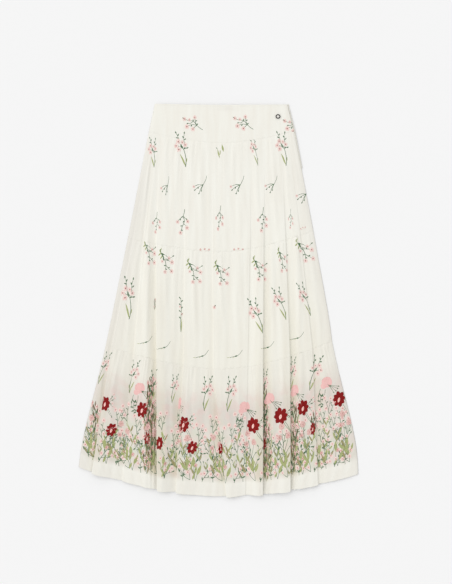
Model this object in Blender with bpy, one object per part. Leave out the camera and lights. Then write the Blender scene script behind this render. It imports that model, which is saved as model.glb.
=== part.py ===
"""A maxi skirt laid flat on its back: a fitted yoke, two gathered tiers and a gathered hem tier.

Metres, +Z up. The waist points to +Y, the wearer's front faces +Z, and the back panels
lie on Z = 0. The panels are drawn from the centre of the front waist edge, and the whole
skirt is then moved so that the middle of its underside is the origin.
"""

import math
from collections import namedtuple

import bmesh
import bpy
from mathutils import Vector

# Cloth wall, and the gap kept between pieces that are sewn together
CLOTH = 0.0012
GAP = 0.0003

# The turned-up hem: its depth, and how much it adds to the outer face
HEM_DEPTH = 0.011
HEM_RAISE = 0.0004

# How much shorter the back hem lies than the front hem
BACK_HEM_SHORT = 0.003

# Each seam line: how far down the centre it lies, its half widths, and how far its ends lift
Level = namedtuple("Level", "drop left right lift_left lift_right")
WAIST = Level(0.000, 0.163, 0.164, 0.003, 0.001)
YOKE_SEAM = Level(0.095, 0.178, 0.181, 0.028, 0.030)
UPPER_SEAM = Level(0.363, 0.2295, 0.228, 0.034, 0.052)
LOWER_SEAM = Level(0.652, 0.284, 0.274, 0.059, 0.069)
HEM = Level(0.9645, 0.3505, 0.338, 0.071, 0.0535)
ARC_POWER = 1.7

# Each tier: the seams it hangs between, how far its sides bow out low down, and the rows
# across it as shares of its length
Tier = namedtuple("Tier", "name top bottom bow_left bow_right rows")
YOKE = Tier("yoke", WAIST, YOKE_SEAM, 0, 0, (0, 0.5, 1))
UPPER = Tier("upper_tier", YOKE_SEAM, UPPER_SEAM, 0, 0, (0, 0.1, 0.3, 0.6, 1))
MIDDLE = Tier("middle_tier", UPPER_SEAM, LOWER_SEAM, 0, 0.002, (0, 0.1, 0.3, 0.6, 1))
HEM_TIER = Tier("hem_tier", LOWER_SEAM, HEM, 0.005, 0.009, (0, 0.1, 0.3, 0.6, 0.8, 1))

# The folds that run down the tiers. lean is 1 where the cloth right of the edge lies on top
# and -1 where the left does. Then the edge's place and the fold's strength at each seam, how
# far the cloth runs back under itself at full strength, the radius of its two turns, and the
# parts that each turn is drawn in
Fold = namedtuple("Fold", "lean x_yoke x_upper x_lower x_hem s_upper s_lower s_hem tuck radius parts")
FOLDS = (
    Fold(1, -0.1710, -0.2160, -0.2700, -0.3185, 0.15, 0.40, 0.90, 0.010, 0.0017, 2),
    Fold(1, -0.1610, -0.1910, -0.2150, -0.2430, 0.25, 0.35, 0.35, 0.008, 0.0015, 2),
    Fold(1, -0.1500, -0.1600, -0.1590, -0.1580, 0.40, 0.60, 1.00, 0.018, 0.0022, 4),
    Fold(1, -0.0915, -0.0890, -0.0930, -0.1110, 0.25, 0.40, 0.60, 0.008, 0.0016, 2),
    Fold(1, -0.0215, -0.0210, -0.0190, 0.0130, 0.25, 0.35, 0.65, 0.008, 0.0016, 2),
    Fold(-1, 0.0740, 0.0720, 0.0660, 0.0600, 0.25, 0.20, 0.20, 0.008, 0.0015, 2),
    Fold(-1, 0.1080, 0.1060, 0.1040, 0.1035, 0.40, 0.60, 1.00, 0.016, 0.0021, 4),
    Fold(-1, 0.1480, 0.1600, 0.1705, 0.1715, 0.35, 0.55, 0.95, 0.014, 0.0020, 4),
    Fold(-1, 0.1650, 0.1960, 0.2260, 0.2395, 0.25, 0.35, 0.55, 0.008, 0.0016, 2),
)

# A fold's flat margins, straight run and turns where its strength is 0, the margins at full
# strength, and how late the straight run grows as the strength does
FLAT_MARGIN = 0.0010
FLAT_RUN = 0.0005
FLAT_PART = 0.0005
FULL_MARGIN = 0.0030
RUN_POWER = 8

# The width over which the top layer of a fold comes down, and how much lower a raised
# hem hangs than a flat one
FALL_WIDTH = 0.050
HEM_STEP = 0.8

# The cloth between the folds: how far the middle of the front stands off the back, how much
# each stretch swells, the spacing of the gathers' sides, their height, the share of a tier
# over which they fade, and what is left of them below that
BODY_RISE = 0.0012
SWELL = 0.0030
SWELL_WIDTH = 0.08
GATHER_SIDE = 0.0068
GATHER_HEIGHT = 0.0012
GATHER_FADE = 0.45
GATHER_REST = 0.15

# Columns across the pieces that have no folds, and the back panels' rows
PLAIN_COLUMNS = 14
BACK_ROWS = (0, 0.3, 0.6, 0.8, 1)

# The oval badge near the waist: its place, half sizes, height, rim and sunk floor
BADGE_AT = (0.1405, -0.0290)
BADGE_SIZE = (0.0058, 0.0054)
BADGE_HEIGHT = 0.0020
BADGE_RIM = 0.0016
BADGE_FLOOR = 0.0012
BADGE_EDGE = 0.06
BADGE_SEGMENTS = 24

# The closed zip in the right side seam, and its slider
ZIP_RADIUS = 0.0008
ZIP_START = 0.010
ZIP_LENGTH = 0.185
ZIP_HEIGHT = 0.0016
ZIP_POINTS = 9
SLIDER_SIZE = (0.0026, 0.0068, 0.0022)
SLIDER_BEVEL = 0.0005


def material(name, colour, roughness, metallic=0.0):
    """A Principled finish with one colour."""
    made = bpy.data.materials.new(name)
    made.use_nodes = True
    shader = made.node_tree.nodes["Principled BSDF"]
    shader.inputs["Base Color"].default_value = (*colour, 1)
    shader.inputs["Roughness"].default_value = roughness
    shader.inputs["Metallic"].default_value = metallic
    return made


def add_object(name, mesh, finish):
    """Puts a mesh in the scene under its node's name."""
    made = bpy.data.objects.new(name, mesh)
    made.data.materials.append(finish)
    bpy.context.scene.collection.objects.link(made)
    return made


def mix(start, end, share):
    """The value a share of the way from one to the other."""
    return start + (end - start) * share


def between(tier, share):
    """The row a share of the way down a tier, with the bow of its sides."""
    row = Level(*(mix(a, b, share) for a, b in zip(tier.top, tier.bottom)))
    bow = 4 * share**2 * (1 - share**2)
    return row._replace(left=row.left + tier.bow_left * bow, right=row.right + tier.bow_right * bow)


def lifted(x, level):
    """The y of a point of a row: the rows are arcs whose ends lift."""
    half, lift = (level.left, level.lift_left) if x < 0 else (level.right, level.lift_right)
    return lift * min(abs(x) / half, 1) ** ARC_POWER - level.drop


def body_rise(x, level):
    """How far the middle of the front stands off the back: nothing at the side seams."""
    half = level.left if x < 0 else level.right
    return BODY_RISE * (1 - min(abs(x) / half, 1) ** 4)


def fold_at(fold, tier, share):
    """A fold's place and strength on one row."""
    ends = {
        "upper_tier": (fold.x_yoke, fold.x_upper, 0, fold.s_upper),
        "middle_tier": (fold.x_upper, fold.x_lower, fold.s_upper, fold.s_lower),
        "hem_tier": (fold.x_lower, fold.x_hem, fold.s_lower, fold.s_hem),
    }
    x_top, x_bottom, s_top, s_bottom = ends[tier.name]
    return mix(x_top, x_bottom, share), mix(s_top, s_bottom, share)


def fold_section(fold, x, strength):
    """Points (x, z) through a fold: the cloth turns up, runs back, and turns level again.

    Strength 0 is flat, a half stands the cloth upright and 1 lays it right over.
    """
    angle = math.pi * strength
    margin = mix(FLAT_MARGIN, FULL_MARGIN, strength)
    part = mix(FLAT_PART, math.pi * fold.radius / fold.parts, strength)
    run = mix(FLAT_RUN, fold.tuck, strength**RUN_POWER)
    headings = [angle * (k + 0.5) / fold.parts for k in range(fold.parts)]
    steps = [(margin, 0), *((part, a) for a in headings), (run, angle)]
    steps += [*((part, a) for a in reversed(headings)), (margin, 0)]
    points = [(0, 0)]
    for length, heading in steps:
        px, pz = points[-1]
        points.append((px + length * math.cos(heading), pz + length * math.sin(heading)))
    upper = points[len(points) // 2 :]
    middle = (points[len(points) // 2 - 1][0] + upper[0][0]) / 2
    edge = min(middle, *(px for px, _ in upper))
    placed = [(x + fold.lean * (px - edge), pz) for px, pz in points]
    return placed[:: fold.lean]


def stretch_columns(tier):
    """How many columns each stretch between two folds of a tier has, from its lower edge."""
    edges = [fold_at(fold, tier, 1)[0] for fold in FOLDS]
    edges = [-tier.bottom.left, *edges, tier.bottom.right]
    return [max(2, round((b - a) / GATHER_SIDE)) for a, b in zip(edges, edges[1:])]


def fallen(height, distance, width):
    """What is left of a fold's height this far from it, within a stretch of this width."""
    return height * (1 + math.cos(math.pi * min(1, distance / min(FALL_WIDTH, width)))) / 2


def stretch_points(start, end, count, strength, gather):
    """Points between two folds: the top layers come down, the cloth swells and gathers."""
    width = end[0] - start[0]
    side = width / (count + 1)
    points = []
    for k in range(1, count + 1):
        share = k / (count + 1)
        fall = fallen(start[1], width * share, width) + fallen(end[1], width * (1 - share), width)
        swell = SWELL * strength * min(1, width / SWELL_WIDTH) * 4 * share * (1 - share)
        ripple = gather * (k % 2) * min(1, side / GATHER_SIDE) ** 2
        points.append((start[0] + width * share, fall + swell + ripple))
    return points


def gather_height(share):
    """Gathers stand highest under the seam that they hang from, and fade further down."""
    return GATHER_HEIGHT * max(GATHER_REST, 1 - share / GATHER_FADE) if share < 1 else 0


def front_section(tier, share):
    """The middle line (x, y, z) of a gathered tier's front at one row, from left to right."""
    level = between(tier, share)
    placed = [fold_at(fold, tier, share) for fold in FOLDS]
    sections = [fold_section(fold, *at) for fold, at in zip(FOLDS, placed)]
    sections = [[(-level.left, 0)], *sections, [(level.right, 0)]]
    strengths = [0, *(strength for _, strength in placed), 0]
    flat = list(sections[0])
    for k, count in enumerate(stretch_columns(tier)):
        pull = max(strengths[k], strengths[k + 1])
        ends = sections[k][-1], sections[k + 1][0]
        flat += stretch_points(*ends, count, pull, gather_height(share)) + sections[k + 1]
    step = HEM_STEP * share if tier is HEM_TIER else 0
    return [(x, lifted(x, level) - step * z, z + body_rise(x, level)) for x, z in flat]


def plain_section(tier, share, rise, shorten=0.0):
    """The middle line of a piece with no folds, at one row."""
    level = between(tier, share)
    xs = [mix(-level.left, level.right, k / (PLAIN_COLUMNS - 1)) for k in range(PLAIN_COLUMNS)]
    lift = shorten * share
    return [(x, lifted(x, level) + lift, body_rise(x, level) if rise else 0) for x in xs]


def skins(section, middle, raised=0.0):
    """Outer and inner points of the wall: the middle line moved out along its own normals."""
    pairs = []
    last = len(section) - 1
    for k, (x, y, z) in enumerate(section):
        before, after = section[max(k - 1, 0)], section[min(k + 1, last)]
        along = Vector((after[0] - before[0], after[2] - before[2])).normalized()
        if k in (0, last):
            along = Vector((1, 0))
        out = Vector((-along.y, 0, along.x))
        centre = Vector((x, y, z + middle))
        pairs.append((centre + out * (CLOTH / 2 + raised), centre - out * CLOTH / 2))
    return pairs


def trimmed(rows):
    """Draws the first and last row back by half a seam's gap."""
    for pairs, side in ((rows[0], -1), (rows[-1], 1)):
        for pair in pairs:
            for point in pair:
                point.y += side * GAP / 2


def wall(name, rows, finish):
    """A closed wall through rows of outer and inner points, from the waist side to the hem."""
    trimmed(rows)
    bm = bmesh.new()
    outer = [[bm.verts.new(pair[0]) for pair in row] for row in rows]
    inner = [[bm.verts.new(pair[1]) for pair in row] for row in rows]
    for upper, lower in zip(outer, outer[1:]):
        for k in range(len(upper) - 1):
            bm.faces.new((upper[k], lower[k], lower[k + 1], upper[k + 1]))
    for upper, lower in zip(inner, inner[1:]):
        for k in range(len(upper) - 1):
            bm.faces.new((upper[k], upper[k + 1], lower[k + 1], lower[k]))
    for out_edge, in_edge in ((outer[0], inner[0]), (outer[-1][::-1], inner[-1][::-1])):
        for k in range(len(out_edge) - 1):
            bm.faces.new((out_edge[k], out_edge[k + 1], in_edge[k + 1], in_edge[k]))
    for side, turned in ((0, 1), (-1, -1)):
        for k in range(len(rows) - 1):
            corners = (outer[k][side], inner[k][side], inner[k + 1][side], outer[k + 1][side])
            bm.faces.new(corners[::turned])
    mesh = bpy.data.meshes.new(name)
    bm.to_mesh(mesh)
    bm.free()
    mesh.shade_smooth()
    mesh.set_sharp_from_angle(angle=math.radians(50))
    return add_object(name, mesh, finish)


def front_height():
    """The height of the front's middle line where it lies on the back."""
    return CLOTH + GAP + CLOTH / 2


def add_front(tier, finish):
    """A tier's front panel, with its folds and gathers. The hem tier ends in a thicker hem."""
    rows = [skins(front_section(tier, share), front_height()) for share in tier.rows]
    if tier is HEM_TIER:
        turn = 1 - HEM_DEPTH / (tier.bottom.drop - tier.top.drop)
        band = [(turn - 0.003, 0), (turn, HEM_RAISE), (1, HEM_RAISE)]
        rows.pop()
        rows += [skins(front_section(tier, s), front_height(), up) for s, up in band]
    return wall(tier.name + "_front", rows, finish)


def add_yoke_front(finish):
    """The fitted yoke's front: no folds, a little clear of the back in the middle."""
    rows = [skins(plain_section(YOKE, share, True), front_height()) for share in YOKE.rows]
    return wall("yoke_front", rows, finish)


def add_back(tier, finish):
    """A back panel: it lies flat on the surface, under the front."""
    shorten = BACK_HEM_SHORT if tier is HEM_TIER else 0
    rows = [skins(plain_section(tier, s, False, shorten), CLOTH / 2) for s in BACK_ROWS]
    return wall(tier.name + "_back", rows, finish)


def turned_oval(name, profile, at, finish):
    """A profile (share of the radius, z) turned through a full circle and drawn to an oval."""
    bm = bmesh.new()
    verts = [bm.verts.new((share, 0, z)) for share, z in profile]
    edges = [bm.edges.new(pair) for pair in zip(verts, verts[1:])]
    bmesh.ops.spin(
        bm,
        geom=verts + edges,
        axis=(0, 0, 1),
        cent=(0, 0, 0),
        angle=math.tau,
        steps=BADGE_SEGMENTS,
        use_merge=True,
    )
    bmesh.ops.remove_doubles(bm, verts=bm.verts, dist=1e-6)
    for vert in bm.verts:
        vert.co.x *= BADGE_SIZE[0]
        vert.co.y *= BADGE_SIZE[1]
    bmesh.ops.recalc_face_normals(bm, faces=bm.faces)
    mesh = bpy.data.meshes.new(name)
    bm.to_mesh(mesh)
    bm.free()
    mesh.shade_smooth()
    mesh.set_sharp_from_angle(angle=math.radians(40))
    made = add_object(name, mesh, finish)
    made.location = at
    return made


def add_badge(metal):
    """A plain oval badge: a raised round rim about a lower floor."""
    x, y = BADGE_AT
    level = between(YOKE, -y / YOKE_SEAM.drop)
    seat = front_height() + CLOTH / 2 + body_rise(x, level) + GAP
    edge = 1 - BADGE_EDGE
    inner = 1 - BADGE_RIM / BADGE_SIZE[1]
    profile = (
        (0, 0),
        (edge, 0),
        (1, BADGE_HEIGHT * 0.3),
        (1, BADGE_HEIGHT * 0.7),
        (edge, BADGE_HEIGHT),
        (inner + BADGE_EDGE, BADGE_HEIGHT),
        (inner, BADGE_FLOOR),
        (0, BADGE_FLOOR),
    )
    turned_oval("waist_badge", profile, (x, y, seat), metal)


def side_point(drop):
    """A point of the right side edge this far down, measured along the centre line."""
    tier = YOKE if drop < YOKE_SEAM.drop else UPPER
    share = (drop - tier.top.drop) / (tier.bottom.drop - tier.top.drop)
    level = between(tier, share)
    return Vector((level.right, lifted(level.right, level), 0))


def zip_route():
    """The line of the zip: a seam's gap outside the right edge, with the ways along it."""
    drops = [ZIP_START + ZIP_LENGTH * k / (ZIP_POINTS - 1) for k in range(ZIP_POINTS)]
    step = ZIP_LENGTH / (ZIP_POINTS - 1)
    route = []
    for drop in drops:
        along = (side_point(drop - step / 2) - side_point(drop + step / 2)).normalized()
        out = Vector((along.y, -along.x, 0))
        route.append((side_point(drop) + out * (GAP + ZIP_RADIUS), along, out))
    return route


def add_zip(tape, metal):
    """The closed zip along the right side seam, and the slider at its top."""
    route = zip_route()
    curve = bpy.data.curves.new("side_zip", "CURVE")
    curve.dimensions = "3D"
    curve.bevel_depth = ZIP_RADIUS
    curve.bevel_resolution = 2
    curve.use_fill_caps = True
    spline = curve.splines.new("POLY")
    spline.points.add(len(route) - 1)
    for point, (place, _, _) in zip(spline.points, route):
        point.co = (place.x, place.y, ZIP_HEIGHT, 1)
    add_object("side_zip", curve, tape)
    bm = bmesh.new()
    bmesh.ops.create_cube(bm, size=1)
    bmesh.ops.scale(bm, verts=bm.verts, vec=SLIDER_SIZE)
    bmesh.ops.bevel(
        bm, geom=bm.edges[:], offset=SLIDER_BEVEL, segments=2, profile=0.5, affect="EDGES"
    )
    mesh = bpy.data.meshes.new("zip_slider")
    bm.to_mesh(mesh)
    bm.free()
    slider = add_object("zip_slider", mesh, metal)
    top, along, out = route[0]
    seat = top + along * (GAP + SLIDER_SIZE[1] / 2) + out * (SLIDER_SIZE[0] / 2 - ZIP_RADIUS)
    slider.location = (seat.x, seat.y, ZIP_HEIGHT)
    slider.rotation_euler.z = math.atan2(along.y, along.x) - math.pi / 2


def centre_on_origin():
    """Moves every piece so that the middle of the skirt's underside is the origin."""
    bpy.context.view_layer.update()
    graph = bpy.context.evaluated_depsgraph_get()
    low, high = Vector((1, 1, 1)), Vector((-1, -1, -1))
    for piece in bpy.context.scene.objects:
        evaluated = piece.evaluated_get(graph)
        mesh = evaluated.to_mesh()
        for vert in mesh.vertices:
            point = evaluated.matrix_world @ vert.co
            low = Vector(map(min, low, point))
            high = Vector(map(max, high, point))
        evaluated.to_mesh_clear()
    middle = (low + high) / 2
    for piece in bpy.context.scene.objects:
        piece.location -= Vector((middle.x, middle.y, low.z))
    print("skirt size in metres:", [round(v, 4) for v in high - low])


def build():
    """Clears the scene and makes every piece of the skirt."""
    for old in list(bpy.data.objects):
        bpy.data.objects.remove(old)
    crepe = material("ivory crepe", (0.86, 0.84, 0.76), 0.85)
    back_crepe = material("ivory crepe, back", (0.82, 0.80, 0.72), 0.85)
    metal = material("dark metal", (0.06, 0.05, 0.05), 0.35, 0.9)
    tape = material("zip tape", (0.80, 0.78, 0.70), 0.60)
    lacquer = material("ivory lacquer", (0.80, 0.78, 0.70), 0.35, 0.3)
    add_yoke_front(crepe)
    for tier in (UPPER, MIDDLE, HEM_TIER):
        add_front(tier, crepe)
    for tier in (YOKE, UPPER, MIDDLE, HEM_TIER):
        add_back(tier, back_crepe)
    add_badge(metal)
    add_zip(tape, lacquer)
    centre_on_origin()


build()
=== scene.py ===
# %% [markdown]
# # A tiered maxi skirt, laid out flat
#
# The skirt lies on its back panels on a pale surface, and the camera looks straight down on it.
# It is made of a fitted yoke, an upper tier, a middle tier and a hem tier, each with a front
# and a back. Each tier is gathered into the one above. Sprigs are embroidered all over it and a
# border of flowers runs above the hem.
#
# The solid model is loaded first. Everything here is placed in its frame: metres, +Z up, the
# waist towards +Y.

import math
from collections import namedtuple

import bmesh
import bpy
import numpy as np
from mathutils import Matrix, Vector


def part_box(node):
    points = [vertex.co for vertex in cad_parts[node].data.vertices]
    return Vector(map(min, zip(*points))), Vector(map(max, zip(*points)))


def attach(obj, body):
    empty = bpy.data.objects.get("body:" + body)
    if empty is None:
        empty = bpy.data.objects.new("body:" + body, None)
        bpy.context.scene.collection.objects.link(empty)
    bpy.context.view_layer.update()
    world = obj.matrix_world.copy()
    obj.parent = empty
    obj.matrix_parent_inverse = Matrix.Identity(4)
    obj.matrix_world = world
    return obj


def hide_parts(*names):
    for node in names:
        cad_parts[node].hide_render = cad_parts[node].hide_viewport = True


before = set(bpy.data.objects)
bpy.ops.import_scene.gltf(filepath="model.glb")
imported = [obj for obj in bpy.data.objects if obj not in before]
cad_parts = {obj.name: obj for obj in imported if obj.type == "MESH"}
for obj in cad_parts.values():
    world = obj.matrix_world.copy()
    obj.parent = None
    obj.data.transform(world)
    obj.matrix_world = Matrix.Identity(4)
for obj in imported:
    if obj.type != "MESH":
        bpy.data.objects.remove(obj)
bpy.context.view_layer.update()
print("nodes in the frame:", sorted(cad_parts))

# %% [markdown]
# ## The sizes of the cloth
#
# The seams are arcs. Each one is given by how far it lies below the waist at the centre, how
# wide it reaches to the left and right, and how far its two ends lift. A few driving sizes like
# these are easier to understand, and to change, than a long list of points.

# %% Seams and tiers
Level = namedtuple("Level", "drop left right lift_left lift_right")
WAIST = Level(0.000, 0.163, 0.164, 0.003, 0.001)
YOKE_SEAM = Level(0.095, 0.178, 0.181, 0.028, 0.030)
UPPER_SEAM = Level(0.363, 0.2295, 0.228, 0.034, 0.052)
LOWER_SEAM = Level(0.652, 0.284, 0.274, 0.059, 0.069)
HEM = Level(0.9645, 0.3505, 0.338, 0.071, 0.0535)
ARC_POWER = 1.7

Tier = namedtuple("Tier", "name top bottom bow_left bow_right rows")
YOKE = Tier("yoke", WAIST, YOKE_SEAM, 0, 0, 28)
UPPER = Tier("upper_tier", YOKE_SEAM, UPPER_SEAM, 0, 0, 58)
MIDDLE = Tier("middle_tier", UPPER_SEAM, LOWER_SEAM, 0, 0.002, 60)
HEM_TIER = Tier("hem_tier", LOWER_SEAM, HEM, 0.005, 0.009, 70)
TIERS = (YOKE, UPPER, MIDDLE, HEM_TIER)

yoke_low, yoke_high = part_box("yoke_front")
WAIST_CENTRE = Vector((yoke_low.x + YOKE_SEAM.left, yoke_high.y - WAIST.lift_left, 0))
print("centre of the front waist edge:", [round(v, 4) for v in WAIST_CENTRE])

# %% [markdown]
# ## The folds
#
# When a full skirt is laid down, its spare width falls into folds. Each fold is an S in the
# cloth: up, back over itself, and on. The table says where the folds lie at each seam, and how
# far each is folded there, from 0 for flat cloth to 1 for cloth that lies right over.

# %% Folds
Fold = namedtuple("Fold", "lean x_yoke x_upper x_lower x_hem s_upper s_lower s_hem tuck radius")
FOLDS = (
    Fold(1, -0.1710, -0.2160, -0.2700, -0.3185, 0.15, 0.40, 0.90, 0.010, 0.0017),
    Fold(1, -0.1610, -0.1910, -0.2150, -0.2430, 0.25, 0.35, 0.35, 0.008, 0.0015),
    Fold(1, -0.1500, -0.1600, -0.1590, -0.1580, 0.40, 0.60, 1.00, 0.018, 0.0022),
    Fold(1, -0.0915, -0.0890, -0.0930, -0.1110, 0.25, 0.40, 0.60, 0.008, 0.0016),
    Fold(1, -0.0215, -0.0210, -0.0190, 0.0130, 0.25, 0.35, 0.65, 0.008, 0.0016),
    Fold(-1, 0.0740, 0.0720, 0.0660, 0.0600, 0.25, 0.20, 0.20, 0.008, 0.0015),
    Fold(-1, 0.1080, 0.1060, 0.1040, 0.1035, 0.40, 0.60, 1.00, 0.016, 0.0021),
    Fold(-1, 0.1480, 0.1600, 0.1705, 0.1715, 0.35, 0.55, 0.95, 0.014, 0.0020),
    Fold(-1, 0.1650, 0.1960, 0.2260, 0.2395, 0.25, 0.35, 0.55, 0.008, 0.0016),
)
TURN_PARTS = 7
FLAT_MARGIN = 0.0010
FLAT_RUN = 0.0005
FLAT_TURN = 0.0010
FULL_MARGIN = 0.0030
RUN_POWER = 8
FALL_WIDTH = 0.050
UPPER_GROWTH = 1.7


def mix(start, end, share):
    """The value a share of the way from one to the other."""
    return start + (end - start) * share


def smooth(value, start, end):
    """0 before start, 1 after end, and a soft step between."""
    share = np.clip((value - start) / (end - start), 0, 1)
    return share * share * (3 - 2 * share)


def between(tier, share):
    """The row a share of the way down a tier, with the bow of its sides."""
    row = [mix(a, b, share) for a, b in zip(tier.top, tier.bottom)]
    bow = 4 * share**2 * (1 - share**2)
    row[1] += tier.bow_left * bow
    row[2] += tier.bow_right * bow
    return Level(*row)


def lifted(x, level):
    """The y of the points of a row: an arc whose ends lift."""
    half = np.where(x < 0, level.left, level.right)
    lift = np.where(x < 0, level.lift_left, level.lift_right)
    return lift * np.minimum(np.abs(x) / half, 1) ** ARC_POWER - level.drop


def fold_at(fold, tier, share):
    """A fold's place and strength on one row."""
    ends = {
        "upper_tier": (fold.x_yoke, fold.x_upper, 0, fold.s_upper),
        "middle_tier": (fold.x_upper, fold.x_lower, fold.s_upper, fold.s_lower),
        "hem_tier": (fold.x_lower, fold.x_hem, fold.s_lower, fold.s_hem),
    }
    x_top, x_bottom, s_top, s_bottom = ends[tier.name]
    grown = share**UPPER_GROWTH if tier is UPPER else share
    return mix(x_top, x_bottom, share), mix(s_top, s_bottom, grown)


def fold_section(fold, x, strength):
    """Points (x, z) through a fold: the cloth turns up, runs back, and turns level again."""
    angle = math.pi * strength
    margin = mix(FLAT_MARGIN, FULL_MARGIN, strength)
    part = mix(FLAT_TURN, math.pi * fold.radius, strength) / TURN_PARTS
    run = mix(FLAT_RUN, fold.tuck, strength**RUN_POWER)
    turn = [angle * (k + 0.5) / TURN_PARTS for k in range(TURN_PARTS)]
    headings = [0, 0, *turn, angle, angle, *reversed(turn), 0, 0]
    parts = [part] * TURN_PARTS
    lengths = [margin / 2, margin / 2, *parts, run / 2, run / 2, *parts, margin / 2, margin / 2]
    px = np.concatenate([[0], np.cumsum(np.array(lengths) * np.cos(headings))])
    pz = np.concatenate([[0], np.cumsum(np.array(lengths) * np.sin(headings))])
    edge = px[len(px) // 2 :].min()
    points = np.column_stack([x + fold.lean * (px - edge), pz])
    return points[:: fold.lean]


print("folds:", len(FOLDS))

# %% [markdown]
# ## Gathers and creases
#
# Under each seam the spare width is drawn up into small gathers, which are high at the seam and
# fade lower down. Long soft creases run down the cloth as well. Both are added to the height of
# the cloth. A crease has a row in the table: its place across at the top and at the bottom of
# the tier, the shares of the tier where it starts and ends, how wide it is, and how high it
# stands. A negative height makes a trough. Sculpting by hand would give the same forms, but a
# table can be read, checked against the picture and changed.

# %% Gathers and creases
GATHER_WAVE = 0.0115
GATHER_HEIGHT = 0.0013
GATHER_LENGTH = 0.050
GATHER_START = 0.004
SWELL = 0.0030
SWELL_WIDTH = 0.08
BODY_RISE = 0.0012
LOWEST_DIP = -0.0008
REST_WAVE = 0.00022
CREASE_POWER = 0.6

CREASES = {
    "yoke": (
        (-0.010, 0.038, 0.02, 0.25, 0.012, -0.0008), (-0.070, -0.062, 0.00, 0.60, 0.010, 0.0008),
        (0.075, 0.070, 0.00, 0.50, 0.012, 0.0007), (0.152, 0.165, 0.20, 1.00, 0.008, 0.0008),
    ),
    "upper_tier": (
        (-0.136, -0.142, 0.02, 0.75, 0.0050, 0.0013), (-0.126, -0.131, 0.05, 0.85, 0.0035, -0.0007),
        (-0.106, -0.112, 0.02, 0.60, 0.0045, 0.0011), (-0.072, -0.074, 0.02, 0.45, 0.0060, 0.0010),
        (-0.052, -0.050, 0.05, 0.95, 0.0070, 0.0013), (-0.036, -0.034, 0.02, 0.70, 0.0035, -0.0007),
        (0.008, 0.010, 0.02, 0.55, 0.0060, 0.0011), (0.030, 0.026, 0.02, 0.35, 0.0040, 0.0010),
        (0.050, 0.046, 0.10, 1.00, 0.0080, 0.0009), (0.087, 0.090, 0.02, 0.80, 0.0050, 0.0013),
        (0.128, 0.136, 0.02, 0.90, 0.0055, 0.0012), (0.146, 0.180, 0.10, 0.80, 0.0045, 0.0010),
        (-0.176, -0.184, 0.15, 1.30, 0.0100, 0.0020),
    ),
    "middle_tier": (
        (-0.202, -0.238, 0.02, 0.90, 0.0060, 0.0015), (-0.174, -0.188, 0.02, 0.95, 0.0065, 0.0016),
        (-0.138, -0.136, 0.02, 0.55, 0.0055, 0.0013), (-0.112, -0.116, 0.02, 0.85, 0.0060, 0.0013),
        (-0.084, -0.084, 0.05, 1.00, 0.0048, -0.0008), (-0.068, -0.064, 0.02, 0.70, 0.0060, 0.0015),
        (-0.046, -0.050, 0.02, 0.50, 0.0045, 0.0012), (0.000, 0.004, 0.02, 0.60, 0.0060, 0.0012),
        (0.018, 0.022, 0.20, 1.00, 0.0060, -0.0007), (0.040, 0.036, 0.02, 0.75, 0.0070, 0.0013),
        (0.058, 0.055, 0.05, 0.60, 0.0040, -0.0006), (0.088, 0.086, 0.02, 0.80, 0.0055, 0.0014),
        (0.122, 0.124, 0.02, 0.65, 0.0060, 0.0014), (0.140, 0.146, 0.10, 1.00, 0.0060, 0.0010),
        (0.182, 0.196, 0.02, 0.80, 0.0055, 0.0013), (0.214, 0.250, 0.05, 0.95, 0.0065, 0.0013),
        (-0.184, -0.183, -0.20, 1.30, 0.0110, 0.0032), (0.128, 0.127, -0.20, 1.30, 0.0090, 0.0030),
        (0.187, 0.194, -0.20, 1.30, 0.0090, 0.0028),
    ),
    "hem_tier": (
        (-0.183, -0.186, -0.30, 1.20, 0.012, 0.0046), (-0.172, -0.1745, 0.15, 1.15, 0.0028, 0.0030),
        (-0.1655, -0.166, 0.25, 1.15, 0.0022, 0.0024), (0.127, 0.126, -0.30, 1.20, 0.0100, 0.0042),
        (0.1145, 0.1140, 0.15, 1.15, 0.0024, 0.0026), (0.194, 0.196, -0.30, 1.20, 0.0110, 0.0042),
        (0.1805, 0.1815, 0.15, 1.15, 0.0026, 0.0028), (-0.292, -0.300, 0.02, 0.60, 0.0060, 0.0014),
        (-0.258, -0.280, 0.02, 0.95, 0.0070, 0.0017), (-0.232, -0.262, 0.05, 0.80, 0.0060, 0.0013),
        (-0.196, -0.205, 0.02, 0.80, 0.0080, 0.0018), (-0.178, -0.176, 0.02, 0.55, 0.0060, -0.0007),
        (-0.140, -0.132, 0.02, 0.75, 0.0070, 0.0015), (-0.118, -0.124, 0.02, 0.50, 0.0050, 0.0012),
        (-0.074, -0.070, 0.02, 0.45, 0.0060, -0.0008), (-0.060, -0.055, 0.02, 0.90, 0.0070, 0.0017),
        (-0.036, -0.020, 0.02, 0.70, 0.0060, 0.0014), (0.008, 0.040, 0.02, 0.80, 0.0070, 0.0014),
        (0.042, 0.046, 0.02, 0.50, 0.0045, 0.0012), (0.086, 0.084, 0.02, 0.85, 0.0060, 0.0015),
        (0.124, 0.134, 0.02, 0.90, 0.0080, 0.0017), (0.150, 0.152, 0.02, 0.55, 0.0050, 0.0012),
        (0.192, 0.208, 0.02, 0.75, 0.0070, 0.0016), (0.246, 0.284, 0.02, 0.95, 0.0080, 0.0016),
        (0.262, 0.318, 0.05, 0.80, 0.0060, 0.0013),
    ),
}


def creased(tier, x, share):
    """The height that the creases of a tier add at these places of one row."""
    height = np.zeros_like(x)
    for x_top, x_bottom, start, end, width, rise in CREASES[tier.name]:
        if start < share < end:
            along = (share - start) / (end - start)
            profile = np.exp(-(((x - mix(x_top, x_bottom, share)) / width) ** 2))
            height += rise * math.sin(math.pi * along) ** CREASE_POWER * profile
    return height


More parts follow.
